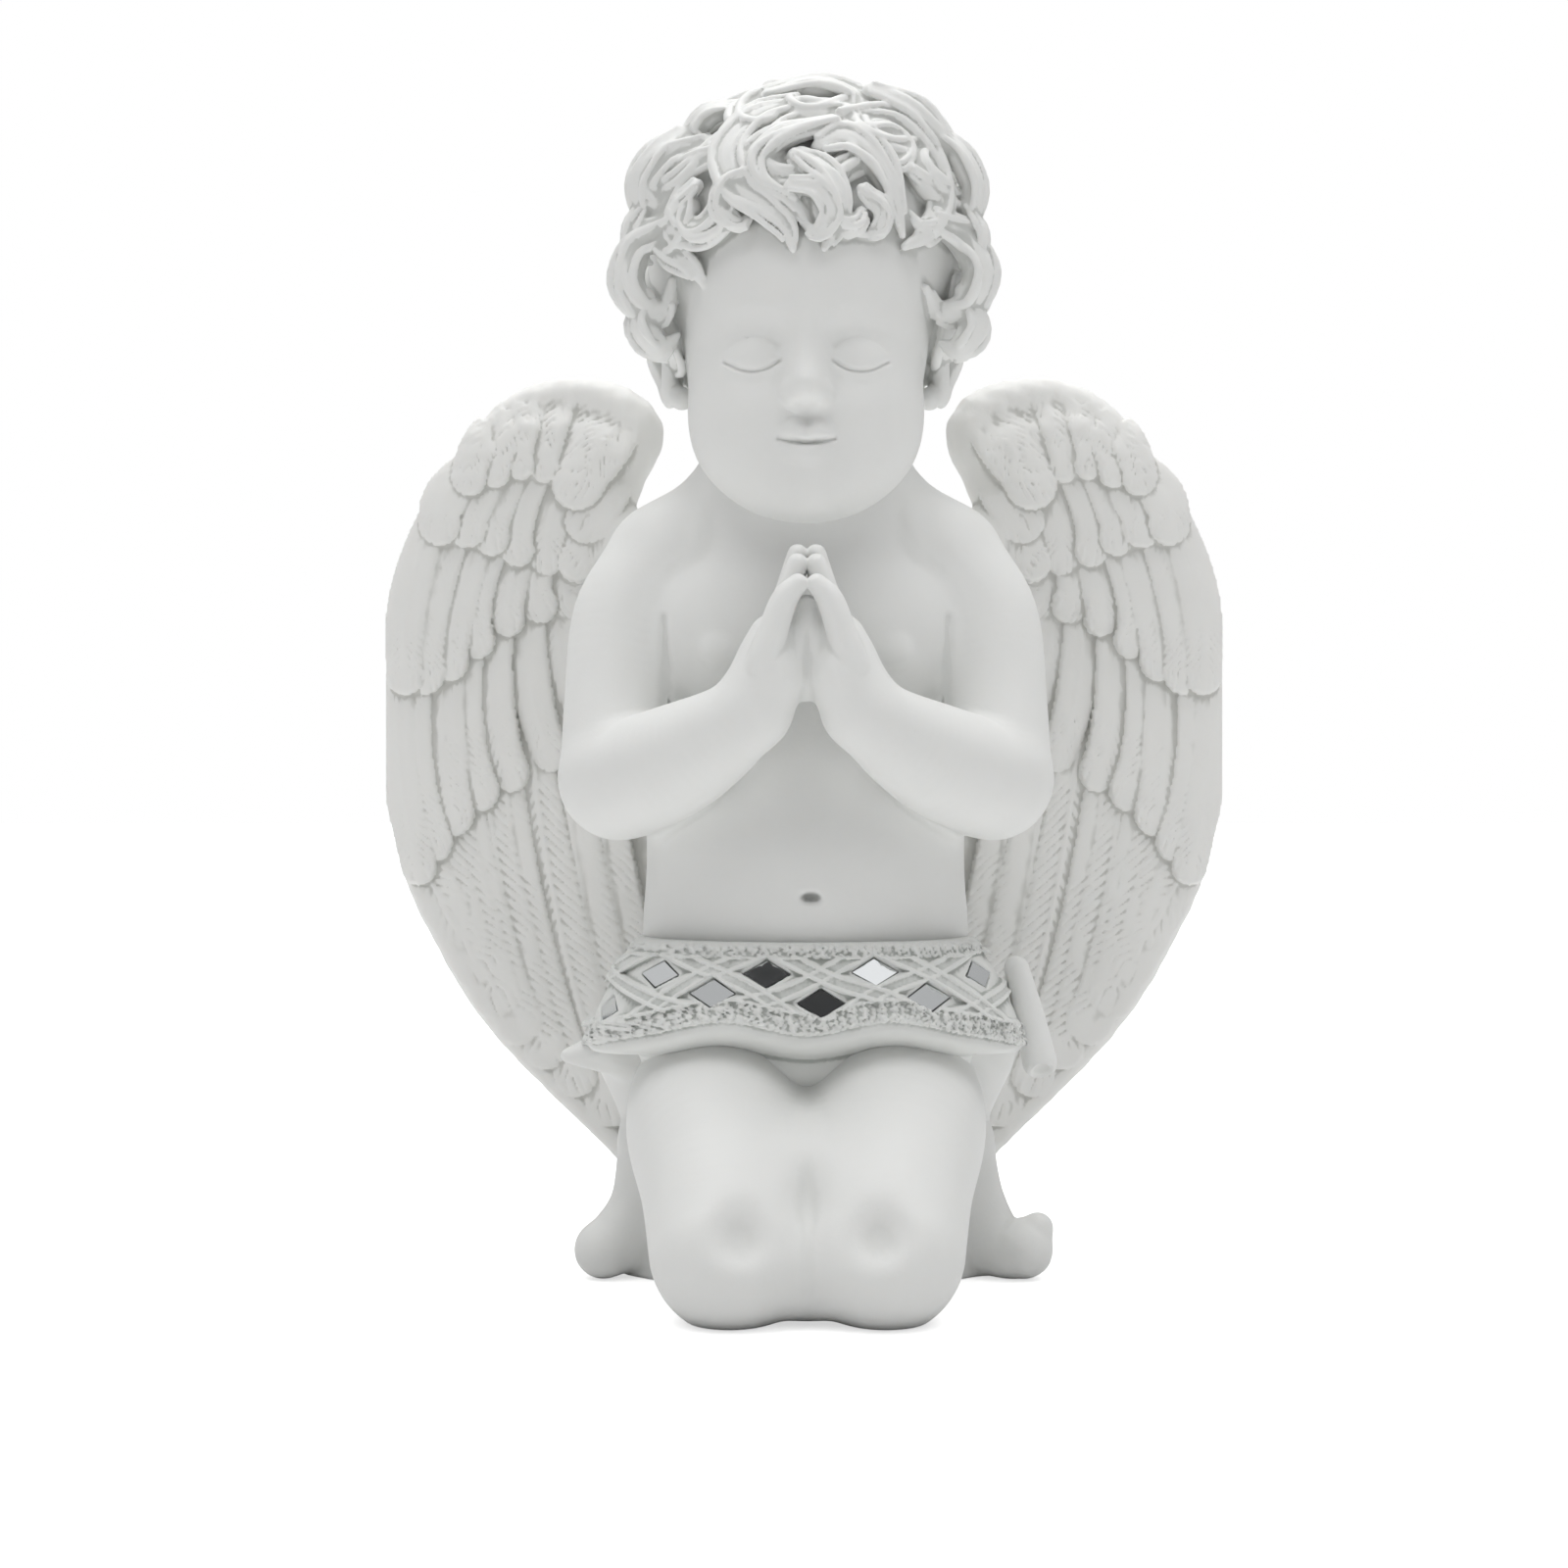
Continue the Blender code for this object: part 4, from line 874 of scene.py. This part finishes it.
def feather_strokes(u, v, row, number, distance, across, share):
    """Carving on a feather: the shaft's ridge, and broken strokes that slant from it to the edges.
    The strokes are long on the flight feathers, flecks on the shoulder, and a fringe on the others."""
    flight = row == len(FEATHER_TIPS) - 1
    seed = number + 3.0 * row
    away = np.abs(across)
    wobble = ripple_noise(u, v, 0.0 * u, 7.0, seed=seed)
    patches = ripple_noise(u, v, 0.0 * u, 8.0, seed=9.0 + seed)
    if flight:
        wave = np.cos(2 * np.pi * (distance - 1.25 * away) / 2.4 + 1.3 * wobble)
        cut = 0.34 * smoothstep(0.3, 1.0, wave) * smoothstep(0.2, 0.7, away)
        cut = cut * smoothstep(-0.35, 0.1, patches)
    elif row == 1:
        wave = np.cos(2 * np.pi * (distance - 1.7 * away) / 2.1 + 4.5 * wobble)
        flecks = ripple_noise(u, v, 0.0 * u, 2.6, seed=seed)
        cut = 0.34 * smoothstep(0.1, 0.9, wave) * smoothstep(-0.2, 0.2, flecks)
    else:
        wave = np.cos(2 * np.pi * (distance - 1.6 * away) / 2.0 + 1.3 * wobble)
        fringe = smoothstep(0.6, 0.95, share) + 0.4 * smoothstep(0.1, 0.4, patches)
        cut = 0.28 * smoothstep(0.3, 0.9, wave) * smoothstep(0.5, 1.2, away) * fringe
    shaft = (0.32 if flight else 0.12) * np.exp(-(across / 0.5) ** 2) * smoothstep(1.0, 0.85, share)
    return shaft - cut


def make_wing_clay(side, relief, cell):
    """One wing between its feathered front and its plainer back, with its thick leading edge and root,
    and a little unevenness all over."""
    out, up, plain, fine, outline = relief
    low = (10, 12, 8) if side > 0 else (-88, 12, 8)
    high = (88, 50, 182) if side > 0 else (-10, 50, 182)
    clay = Clay(low, high, cell)
    part, (x, y, z) = clay.everywhere()
    flat_out = np.abs(clay.axes[0])
    i = np.clip((flat_out - out[0]) / (out[1] - out[0]), 0, len(out) - 1.01)
    j = np.clip((clay.axes[2] - up[0]) / (up[1] - up[0]), 0, len(up) - 1.01)
    i0, j0 = i.astype(int), j.astype(int)
    fi, fj = (i - i0)[:, None], (j - j0)[None, :]

    def read(raster):
        return (raster[np.ix_(i0, j0)] * (1 - fi) * (1 - fj) + raster[np.ix_(i0 + 1, j0)] * fi * (1 - fj)
                + raster[np.ix_(i0, j0 + 1)] * (1 - fi) * fj + raster[np.ix_(i0 + 1, j0 + 1)] * fi * fj)

    plane = wing_depth(flat_out[:, None], clay.axes[2][None, :])
    front = (plane - read(fine))[:, None, :]
    back = (plane + 1.0 + 0.42 * read(plain))[:, None, :]
    rim = read(outline)[:, None, :]
    thickness = np.maximum(front - y, y - back)
    distance = np.maximum(thickness, rim)
    clay.join(part, np.minimum(distance, FAR).astype(np.float32), 0)
    clay.limb([(side * out, back, up, radius) for out, back, up, radius in WING_CREST], blend=2.0)
    edge = [(side * out, wing_depth(out, up), up, WING_EDGE_RADIUS) for out, up in WING_EDGE]
    clay.limb(edge, blend=2.5)
    part, (x, y, z) = clay.window(low, high)
    rough = 0.16 * ripple_noise(x, y, z, 4.2, seed=side) + 0.1 * ripple_noise(x, y, z, 1.9, seed=3.0)
    clay.d[part] += (rough * (0.5 + smoothstep(150, 165, z))).astype(np.float32)
    return clay


# The falling cloth

FALL_HEIGHTS = [-3, 3, 12, 22, 30, 40, 48]
FALL_HALF = [37.0, 36.5, 35.0, 34.5, 35.5, 40.0, 42.0]
FALL_BACK = [35.0, 34.0, 31.0, 28.0, 26.0, 24.0, 23.0]
FALL_FRONT = [26.0, 25.0, 23.0, 21.0, 19.0, 17.0, 16.0]
FALL_MIDDLE = [20.0, 19.0, 17.0, 14.5, 12.5, 10.0, 8.0]
FALL_SQUARE = 2.3
FALL_PLEATS = 11
FALL_PLEAT_DEPTH = 0.045


def make_fall_clay(cell):
    """Cloth that falls from the hips behind the legs: rounded oblongs, pleated behind, with a turned
    lip at each front corner, a folded corner at the left hip and a hollow roll at the right."""
    clay = Clay((-52, -12, -3), (52, 58, 66), cell)
    part, (x, y, z) = clay.window((-52, -12, -3), (52, 58, 50))
    half, back, front, middle = (np.interp(z, FALL_HEIGHTS, row)
                                 for row in (FALL_HALF, FALL_BACK, FALL_FRONT, FALL_MIDDLE))
    v = y - middle
    reach = np.where(v < 0, front, back)
    angle = np.arctan2(v / reach, x / half)
    fade = np.clip((52 - z) / 40, 0, 1)
    pleats = 1 + np.where(v > 0, FALL_PLEAT_DEPTH * fade * np.sin(angle) * np.cos(FALL_PLEATS * angle), 0)
    k = (np.abs(x / half) ** FALL_SQUARE + np.abs(v / reach) ** FALL_SQUARE) ** (1 / FALL_SQUARE)
    side = (k - pleats) * np.minimum(half, reach)
    clay.join(part, np.maximum(side, z - 48).astype(np.float32), 0)
    clay.limb([(-33, 2, 44, 5.0), (-39, -2, 44.0, 3.6), (-45, -3, 43.6, 1.4)], blend=2.5)
    clay.ball((-39, -7.5, 40.2), (5.5, 4.5, 3.0), (0, 12, 0), blend=1.5, cut=True)
    clay.limb([(40, -2, 60, 2.4), (42.3, -3.5, 51, 2.9), (44.2, -4.5, 42.5, 3.3)], blend=1.0)
    clay.ball((44.6, -6.4, 39.4), (2.5, 2.6, 3.2), (25, 0, 0), blend=0.4, cut=True)
    clay.limb([(31.5, 9, 25, 4.5), (34.0, 7.5, 15, 4.4), (37.5, 6, 6.2, 5.4), (41.8, 4.5, 5.8, 5.7)],
              blend=4)
    clay.limb([(42, 4.5, 6.5, 5.4), (44.6, 4.2, 9.8, 3.0)], blend=1.5)
    clay.limb([(-31, 9, 25, 4.5), (-33, 7.5, 15, 4.3), (-35.8, 6, 8.5, 5.4), (-38.8, 5, 5.6, 5.6)], blend=4)
    return clay


# Finishes

def set_inputs(tree, made, inputs):
    """Gives a node's inputs, by name or number, their values or the outputs that they follow."""
    for key, value in inputs.items():
        if isinstance(value, bpy.types.NodeSocket):
            tree.links.new(value, made.inputs[key])
        else:
            made.inputs[key].default_value = value


def add_node(tree, kind, inputs, **settings):
    """A new shader node with its settings and inputs."""
    made = tree.nodes.new(kind)
    for key, value in settings.items():
        setattr(made, key, value)
    set_inputs(tree, made, inputs)
    return made


def combined(tree, operation, *values):
    """Result of a sum on values or outputs."""
    return add_node(tree, "ShaderNodeMath", dict(enumerate(values)), operation=operation).outputs["Value"]


def ramp(tree, value, spans, kind="SMOOTHSTEP"):
    """A value taken from the span between the first two numbers to that between the last two."""
    names = ("From Min", "From Max", "To Min", "To Max")
    inputs = {"Value": value, **dict(zip(names, spans))}
    return add_node(tree, "ShaderNodeMapRange", inputs, interpolation_type=kind).outputs["Result"]


def noise(tree, place, scale, detail=2.0):
    """Soft noise at a place."""
    inputs = {"Vector": place, "Scale": scale, "Detail": detail}
    return add_node(tree, "ShaderNodeTexNoise", inputs).outputs["Fac"]


def object_place(tree):
    """Place on the object's own axes."""
    return add_node(tree, "ShaderNodeTexCoord", {}).outputs["Object"]


def new_material(name):
    """A material with its node tree and its shader."""
    material = bpy.data.materials.new(name)
    material.use_nodes = True
    tree = material.node_tree
    return material, tree, tree.nodes["Principled BSDF"]


def shade_mottle_grain_group():
    """Painted shade on the resin: a darker colour in the hollows, where shade falls, made patchy by a faint
    mottling that also tones all the colour, and a fine grain.
    """
    group = bpy.data.node_groups.new("hollow_shade_mottle_grain", "ShaderNodeTree")
    for way, name, kind in (("INPUT", "Colour", "Color"), ("INPUT", "Hollow Shade Colour", "Color"),
                            ("INPUT", "Hollow", "Float"), ("INPUT", "Hollow Shade Strength", "Float"),
                            ("INPUT", "Mottle Scale", "Float"), ("INPUT", "Roughness", "Float"),
                            ("OUTPUT", "Colour", "Color"), ("OUTPUT", "Roughness", "Float"),
                            ("OUTPUT", "Height", "Float")):
        group.interface.new_socket(name=name, in_out=way, socket_type="NodeSocket" + kind)
    given = add_node(group, "NodeGroupInput", {}).outputs
    place = object_place(group)
    mottle = noise(group, place, given["Mottle Scale"], 4.0)
    mask = ramp(group, given["Hollow"], (0.52, 0.95, 0.0, 1.0))
    patchy = ramp(group, mottle, (0.3, 0.7, 0.6, 1.0), "LINEAR")
    strength = combined(group, "MULTIPLY", mask, given["Hollow Shade Strength"])
    shade_amount = combined(group, "MULTIPLY", strength, patchy)
    # Painted shade: in the hollows the colour turns towards the hollow shade colour.
    hollow_shade = add_node(group, "ShaderNodeMix", {"Factor": shade_amount, "A": given["Colour"],
                                             "B": given["Hollow Shade Colour"]}, data_type="RGBA")
    shade = ramp(group, mottle, (0.0, 1.0, 0.965, 1.02), "LINEAR")
    toned = add_node(group, "ShaderNodeVectorMath", {0: hollow_shade.outputs["Result"], "Scale": shade},
                     operation="SCALE")
    add_node(group, "NodeGroupOutput", {
        "Colour": toned.outputs["Vector"],
        "Roughness": combined(group, "MULTIPLY_ADD", shade_amount, 0.25, given["Roughness"]),
        "Height": noise(group, place, 1400.0, 3.0),
    })
    return group


def resin_material(name, group, colour, hollow_shade_colour, hollow_shade_strength, roughness, grain_height):
    """Matte white cast resin: painted shade in the hollows and a faint mottling in its colour and
    roughness, fine grain as bump.
    """
    material, tree, shader = new_material(name)
    hollow = add_node(tree, "ShaderNodeAttribute", {}, attribute_name="hollow").outputs["Fac"]
    surface = add_node(tree, "ShaderNodeGroup", {}, node_tree=group)
    # The hollow attribute sets where the painted shade darkens the colour.
    set_inputs(tree, surface, {
        "Colour": (*colour, 1), "Hollow Shade Colour": (*hollow_shade_colour, 1), "Hollow": hollow,
        "Hollow Shade Strength": hollow_shade_strength, "Mottle Scale": 70.0, "Roughness": roughness,
    })
    bump = add_node(tree, "ShaderNodeBump", {"Strength": 0.35, "Distance": grain_height * UNIT,
                                             "Height": surface.outputs["Height"]})
    set_inputs(tree, shader, {
        "Specular IOR Level": 0.42, "Subsurface Weight": 0.12, "Subsurface Radius": (1.0, 0.9, 0.8),
        "Subsurface Scale": 2.0 * UNIT, "Base Color": surface.outputs["Colour"],
        "Roughness": surface.outputs["Roughness"], "Normal": bump.outputs["Normal"],
    })
    return material


def mirror_material():
    """Silvered glass chip: bright metal with faint smears that blur it a little."""
    material, tree, shader = new_material("mirror_glass")
    blur = ramp(tree, noise(tree, object_place(tree), 260.0), (0.0, 1.0, 0.03, 0.12), "LINEAR")
    set_inputs(tree, shader, {"Metallic": 1.0, "Base Color": (0.8, 0.82, 0.83, 1), "Roughness": blur})
    return material


# The stage

FLOOR_HALF = 6.0
FLOOR_GLOW = 0.6
FRONT_SKY = 0.06
BACK_SKY = 0.25
UPPER_SKY = 0.45
GAP_DARKNESS = 0.9
LIT_POINT = (0, 0, 0.12)
SOFT_LIGHTS = {
    "key": ((-0.35, -0.55, 1.1), 0.5, 0.95),
    "fill": ((0.5, -0.55, 1.0), 0.6, 0.5),
    "top": ((0.0, 0.2, 1.2), 0.6, 1.9),
}
OVERHEAD_SPREAD = math.radians(70)
OVERHEAD_STRENGTH = 1.7
CAMERA_PLACE = (-4.1 * UNIT, -525 * UNIT, 95 * UNIT)
CAMERA_LENS = 63.3


def make_floor():
    """Wide pale floor, which also glows a little, but only as the camera sees it."""
    mesh = bpy.data.meshes.new("floor")
    corners = [(x * FLOOR_HALF, y * FLOOR_HALF, 0) for x, y in ((-1, -1), (1, -1), (1, 1), (-1, 1))]
    mesh.from_pydata(corners, [], [(0, 1, 2, 3)])
    floor = bpy.data.objects.new("floor", mesh)
    bpy.context.scene.collection.objects.link(floor)
    pale, tree, shader = new_material("pale_floor")
    seen = add_node(tree, "ShaderNodeLightPath", {}).outputs["Is Camera Ray"]
    set_inputs(tree, shader, {
        "Base Color": (0.85, 0.85, 0.85, 1), "Roughness": 0.9, "Emission Color": (1, 1, 1, 1),
        "Emission Strength": combined(tree, "MULTIPLY", seen, FLOOR_GLOW),
    })
    mesh.materials.append(pale)


def add_light(name, kind, place):
    """A light of a kind at a place, facing the lit point; its data is returned."""
    data = bpy.data.lights.new(name, kind)
    light = bpy.data.objects.new(name, data)
    light.location = place
    aim = Vector(LIT_POINT) - Vector(place)
    light.rotation_euler = aim.to_track_quat("-Z", "Y").to_euler()
    bpy.context.scene.collection.objects.link(light)
    return data


def studio_sky():
    """Surroundings by direction: soft behind and above, dim in front, with one dark gap high in front
    that the chips in the middle of the band mirror. The camera itself sees plain white."""
    world = bpy.data.worlds.new("studio")
    world.use_nodes = True
    tree = world.node_tree
    place = add_node(tree, "ShaderNodeTexCoord", {}).outputs["Generated"]
    x, y, z = add_node(tree, "ShaderNodeSeparateXYZ", {"Vector": place}).outputs
    level = combined(tree, "ADD", ramp(tree, y, (-0.35, 0.35, FRONT_SKY, BACK_SKY)),
                     ramp(tree, z, (0.2, 0.6, 0.0, UPPER_SKY)))
    sideways = combined(tree, "ABSOLUTE", combined(tree, "ADD", x, 0.03))
    narrow = ramp(tree, sideways, (0.13, 0.17, 1.0, 0.0))
    above = ramp(tree, z, (0.42, 0.5, 0.0, 1.0))
    below = ramp(tree, z, (0.84, 0.9, 1.0, 0.0))
    front = ramp(tree, y, (-0.3, -0.2, 1.0, 0.0))
    gap = combined(tree, "MULTIPLY", combined(tree, "MULTIPLY", narrow, above),
                   combined(tree, "MULTIPLY", below, front))
    left = combined(tree, "SUBTRACT", 1.0, combined(tree, "MULTIPLY", gap, GAP_DARKNESS))
    seen = add_node(tree, "ShaderNodeLightPath", {}).outputs["Is Camera Ray"]
    strength = combined(tree, "MAXIMUM", combined(tree, "MULTIPLY", level, left), seen)
    set_inputs(tree, tree.nodes["Background"], {"Color": (1, 1, 1, 1), "Strength": strength})
    bpy.context.scene.world = world


def make_lights():
    """Studio surroundings, soft square lights high in front and above, and a wide light overhead."""
    studio_sky()
    for name, (place, size, power) in SOFT_LIGHTS.items():
        data = add_light(name, "AREA", place)
        data.size = size
        data.energy = power
    sun = add_light("overhead", "SUN", (0, 0, 1))
    sun.angle = OVERHEAD_SPREAD
    sun.energy = OVERHEAD_STRENGTH


def make_camera():
    """Level camera half a metre in front, a little left of the middle."""
    data = bpy.data.cameras.new("camera")
    data.sensor_width = 36
    data.lens = CAMERA_LENS
    camera = bpy.data.objects.new("camera", data)
    camera.location = CAMERA_PLACE
    camera.rotation_euler = (math.pi / 2, 0, 0)
    bpy.context.scene.collection.objects.link(camera)
    bpy.context.scene.camera = camera


# Grid steps of the pieces, and how far their skins stay inside the solids' box
BODY_GRAIN = 0.5
HEAD_GRAIN = 0.34
WING_GRAIN = 0.38
BAND_GRAIN = 0.3
FALL_GRAIN = 0.5
RELIEF_GRAIN = 0.25
SKIN_GAP = 0.05

# Finishes: colour, painted shade colour in the hollows, its strength, roughness and height of the grain
FINISHES = {
    "white_resin": ((0.84, 0.845, 0.83), (0.45, 0.46, 0.43), 0.2, 0.5, 0.05),
    # Painted light: the wings are the same resin as the body, given a lighter colour to look more brightly
    # lit.
    "feathered_resin": ((0.87, 0.87, 0.85), (0.42, 0.42, 0.385), 0.65, 0.55, 0.08),
    "curled_resin": ((0.84, 0.845, 0.83), (0.38, 0.39, 0.365), 0.6, 0.5, 0.05),
    "banded_resin": ((0.80, 0.81, 0.79), (0.33, 0.35, 0.325), 0.9, 0.4, 0.1),
}


def main():
    low, high = (np.array(corner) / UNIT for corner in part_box("angel"))
    group = shade_mottle_grain_group()
    resin, feathered, curled, banded = (resin_material(name, group, *finish)
                                        for name, finish in FINISHES.items())
    relief = wing_relief(RELIEF_GRAIN)
    pieces = [
        ("child_body", make_body_clay(grain(BODY_GRAIN)), resin),
        ("child_head", make_head_clay(grain(HEAD_GRAIN)), curled),
        ("wing_left", make_wing_clay(-1, relief, grain(WING_GRAIN)), feathered),
        ("wing_right", make_wing_clay(1, relief, grain(WING_GRAIN)), feathered),
        ("loincloth_band", make_band_clay(grain(BAND_GRAIN)), banded),
        ("falling_cloth", make_fall_clay(grain(FALL_GRAIN)), resin),
    ]
    for name, clay, material in pieces:
        clay.keep_inside(low + SKIN_GAP, high - SKIN_GAP)
        piece = make_piece(name, clay)
        piece.data.materials.append(material)
        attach(piece, "root")
        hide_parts("angel")
    mirror = mirror_material()
    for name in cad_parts:
        if name.startswith("mirror_chip"):
            chip = bpy.data.objects[name]
            chip.data.materials.clear()
            chip.data.materials.append(mirror)
    make_floor()
    make_lights()
    make_camera()
    bpy.context.scene.view_settings.view_transform = "Standard"


main()
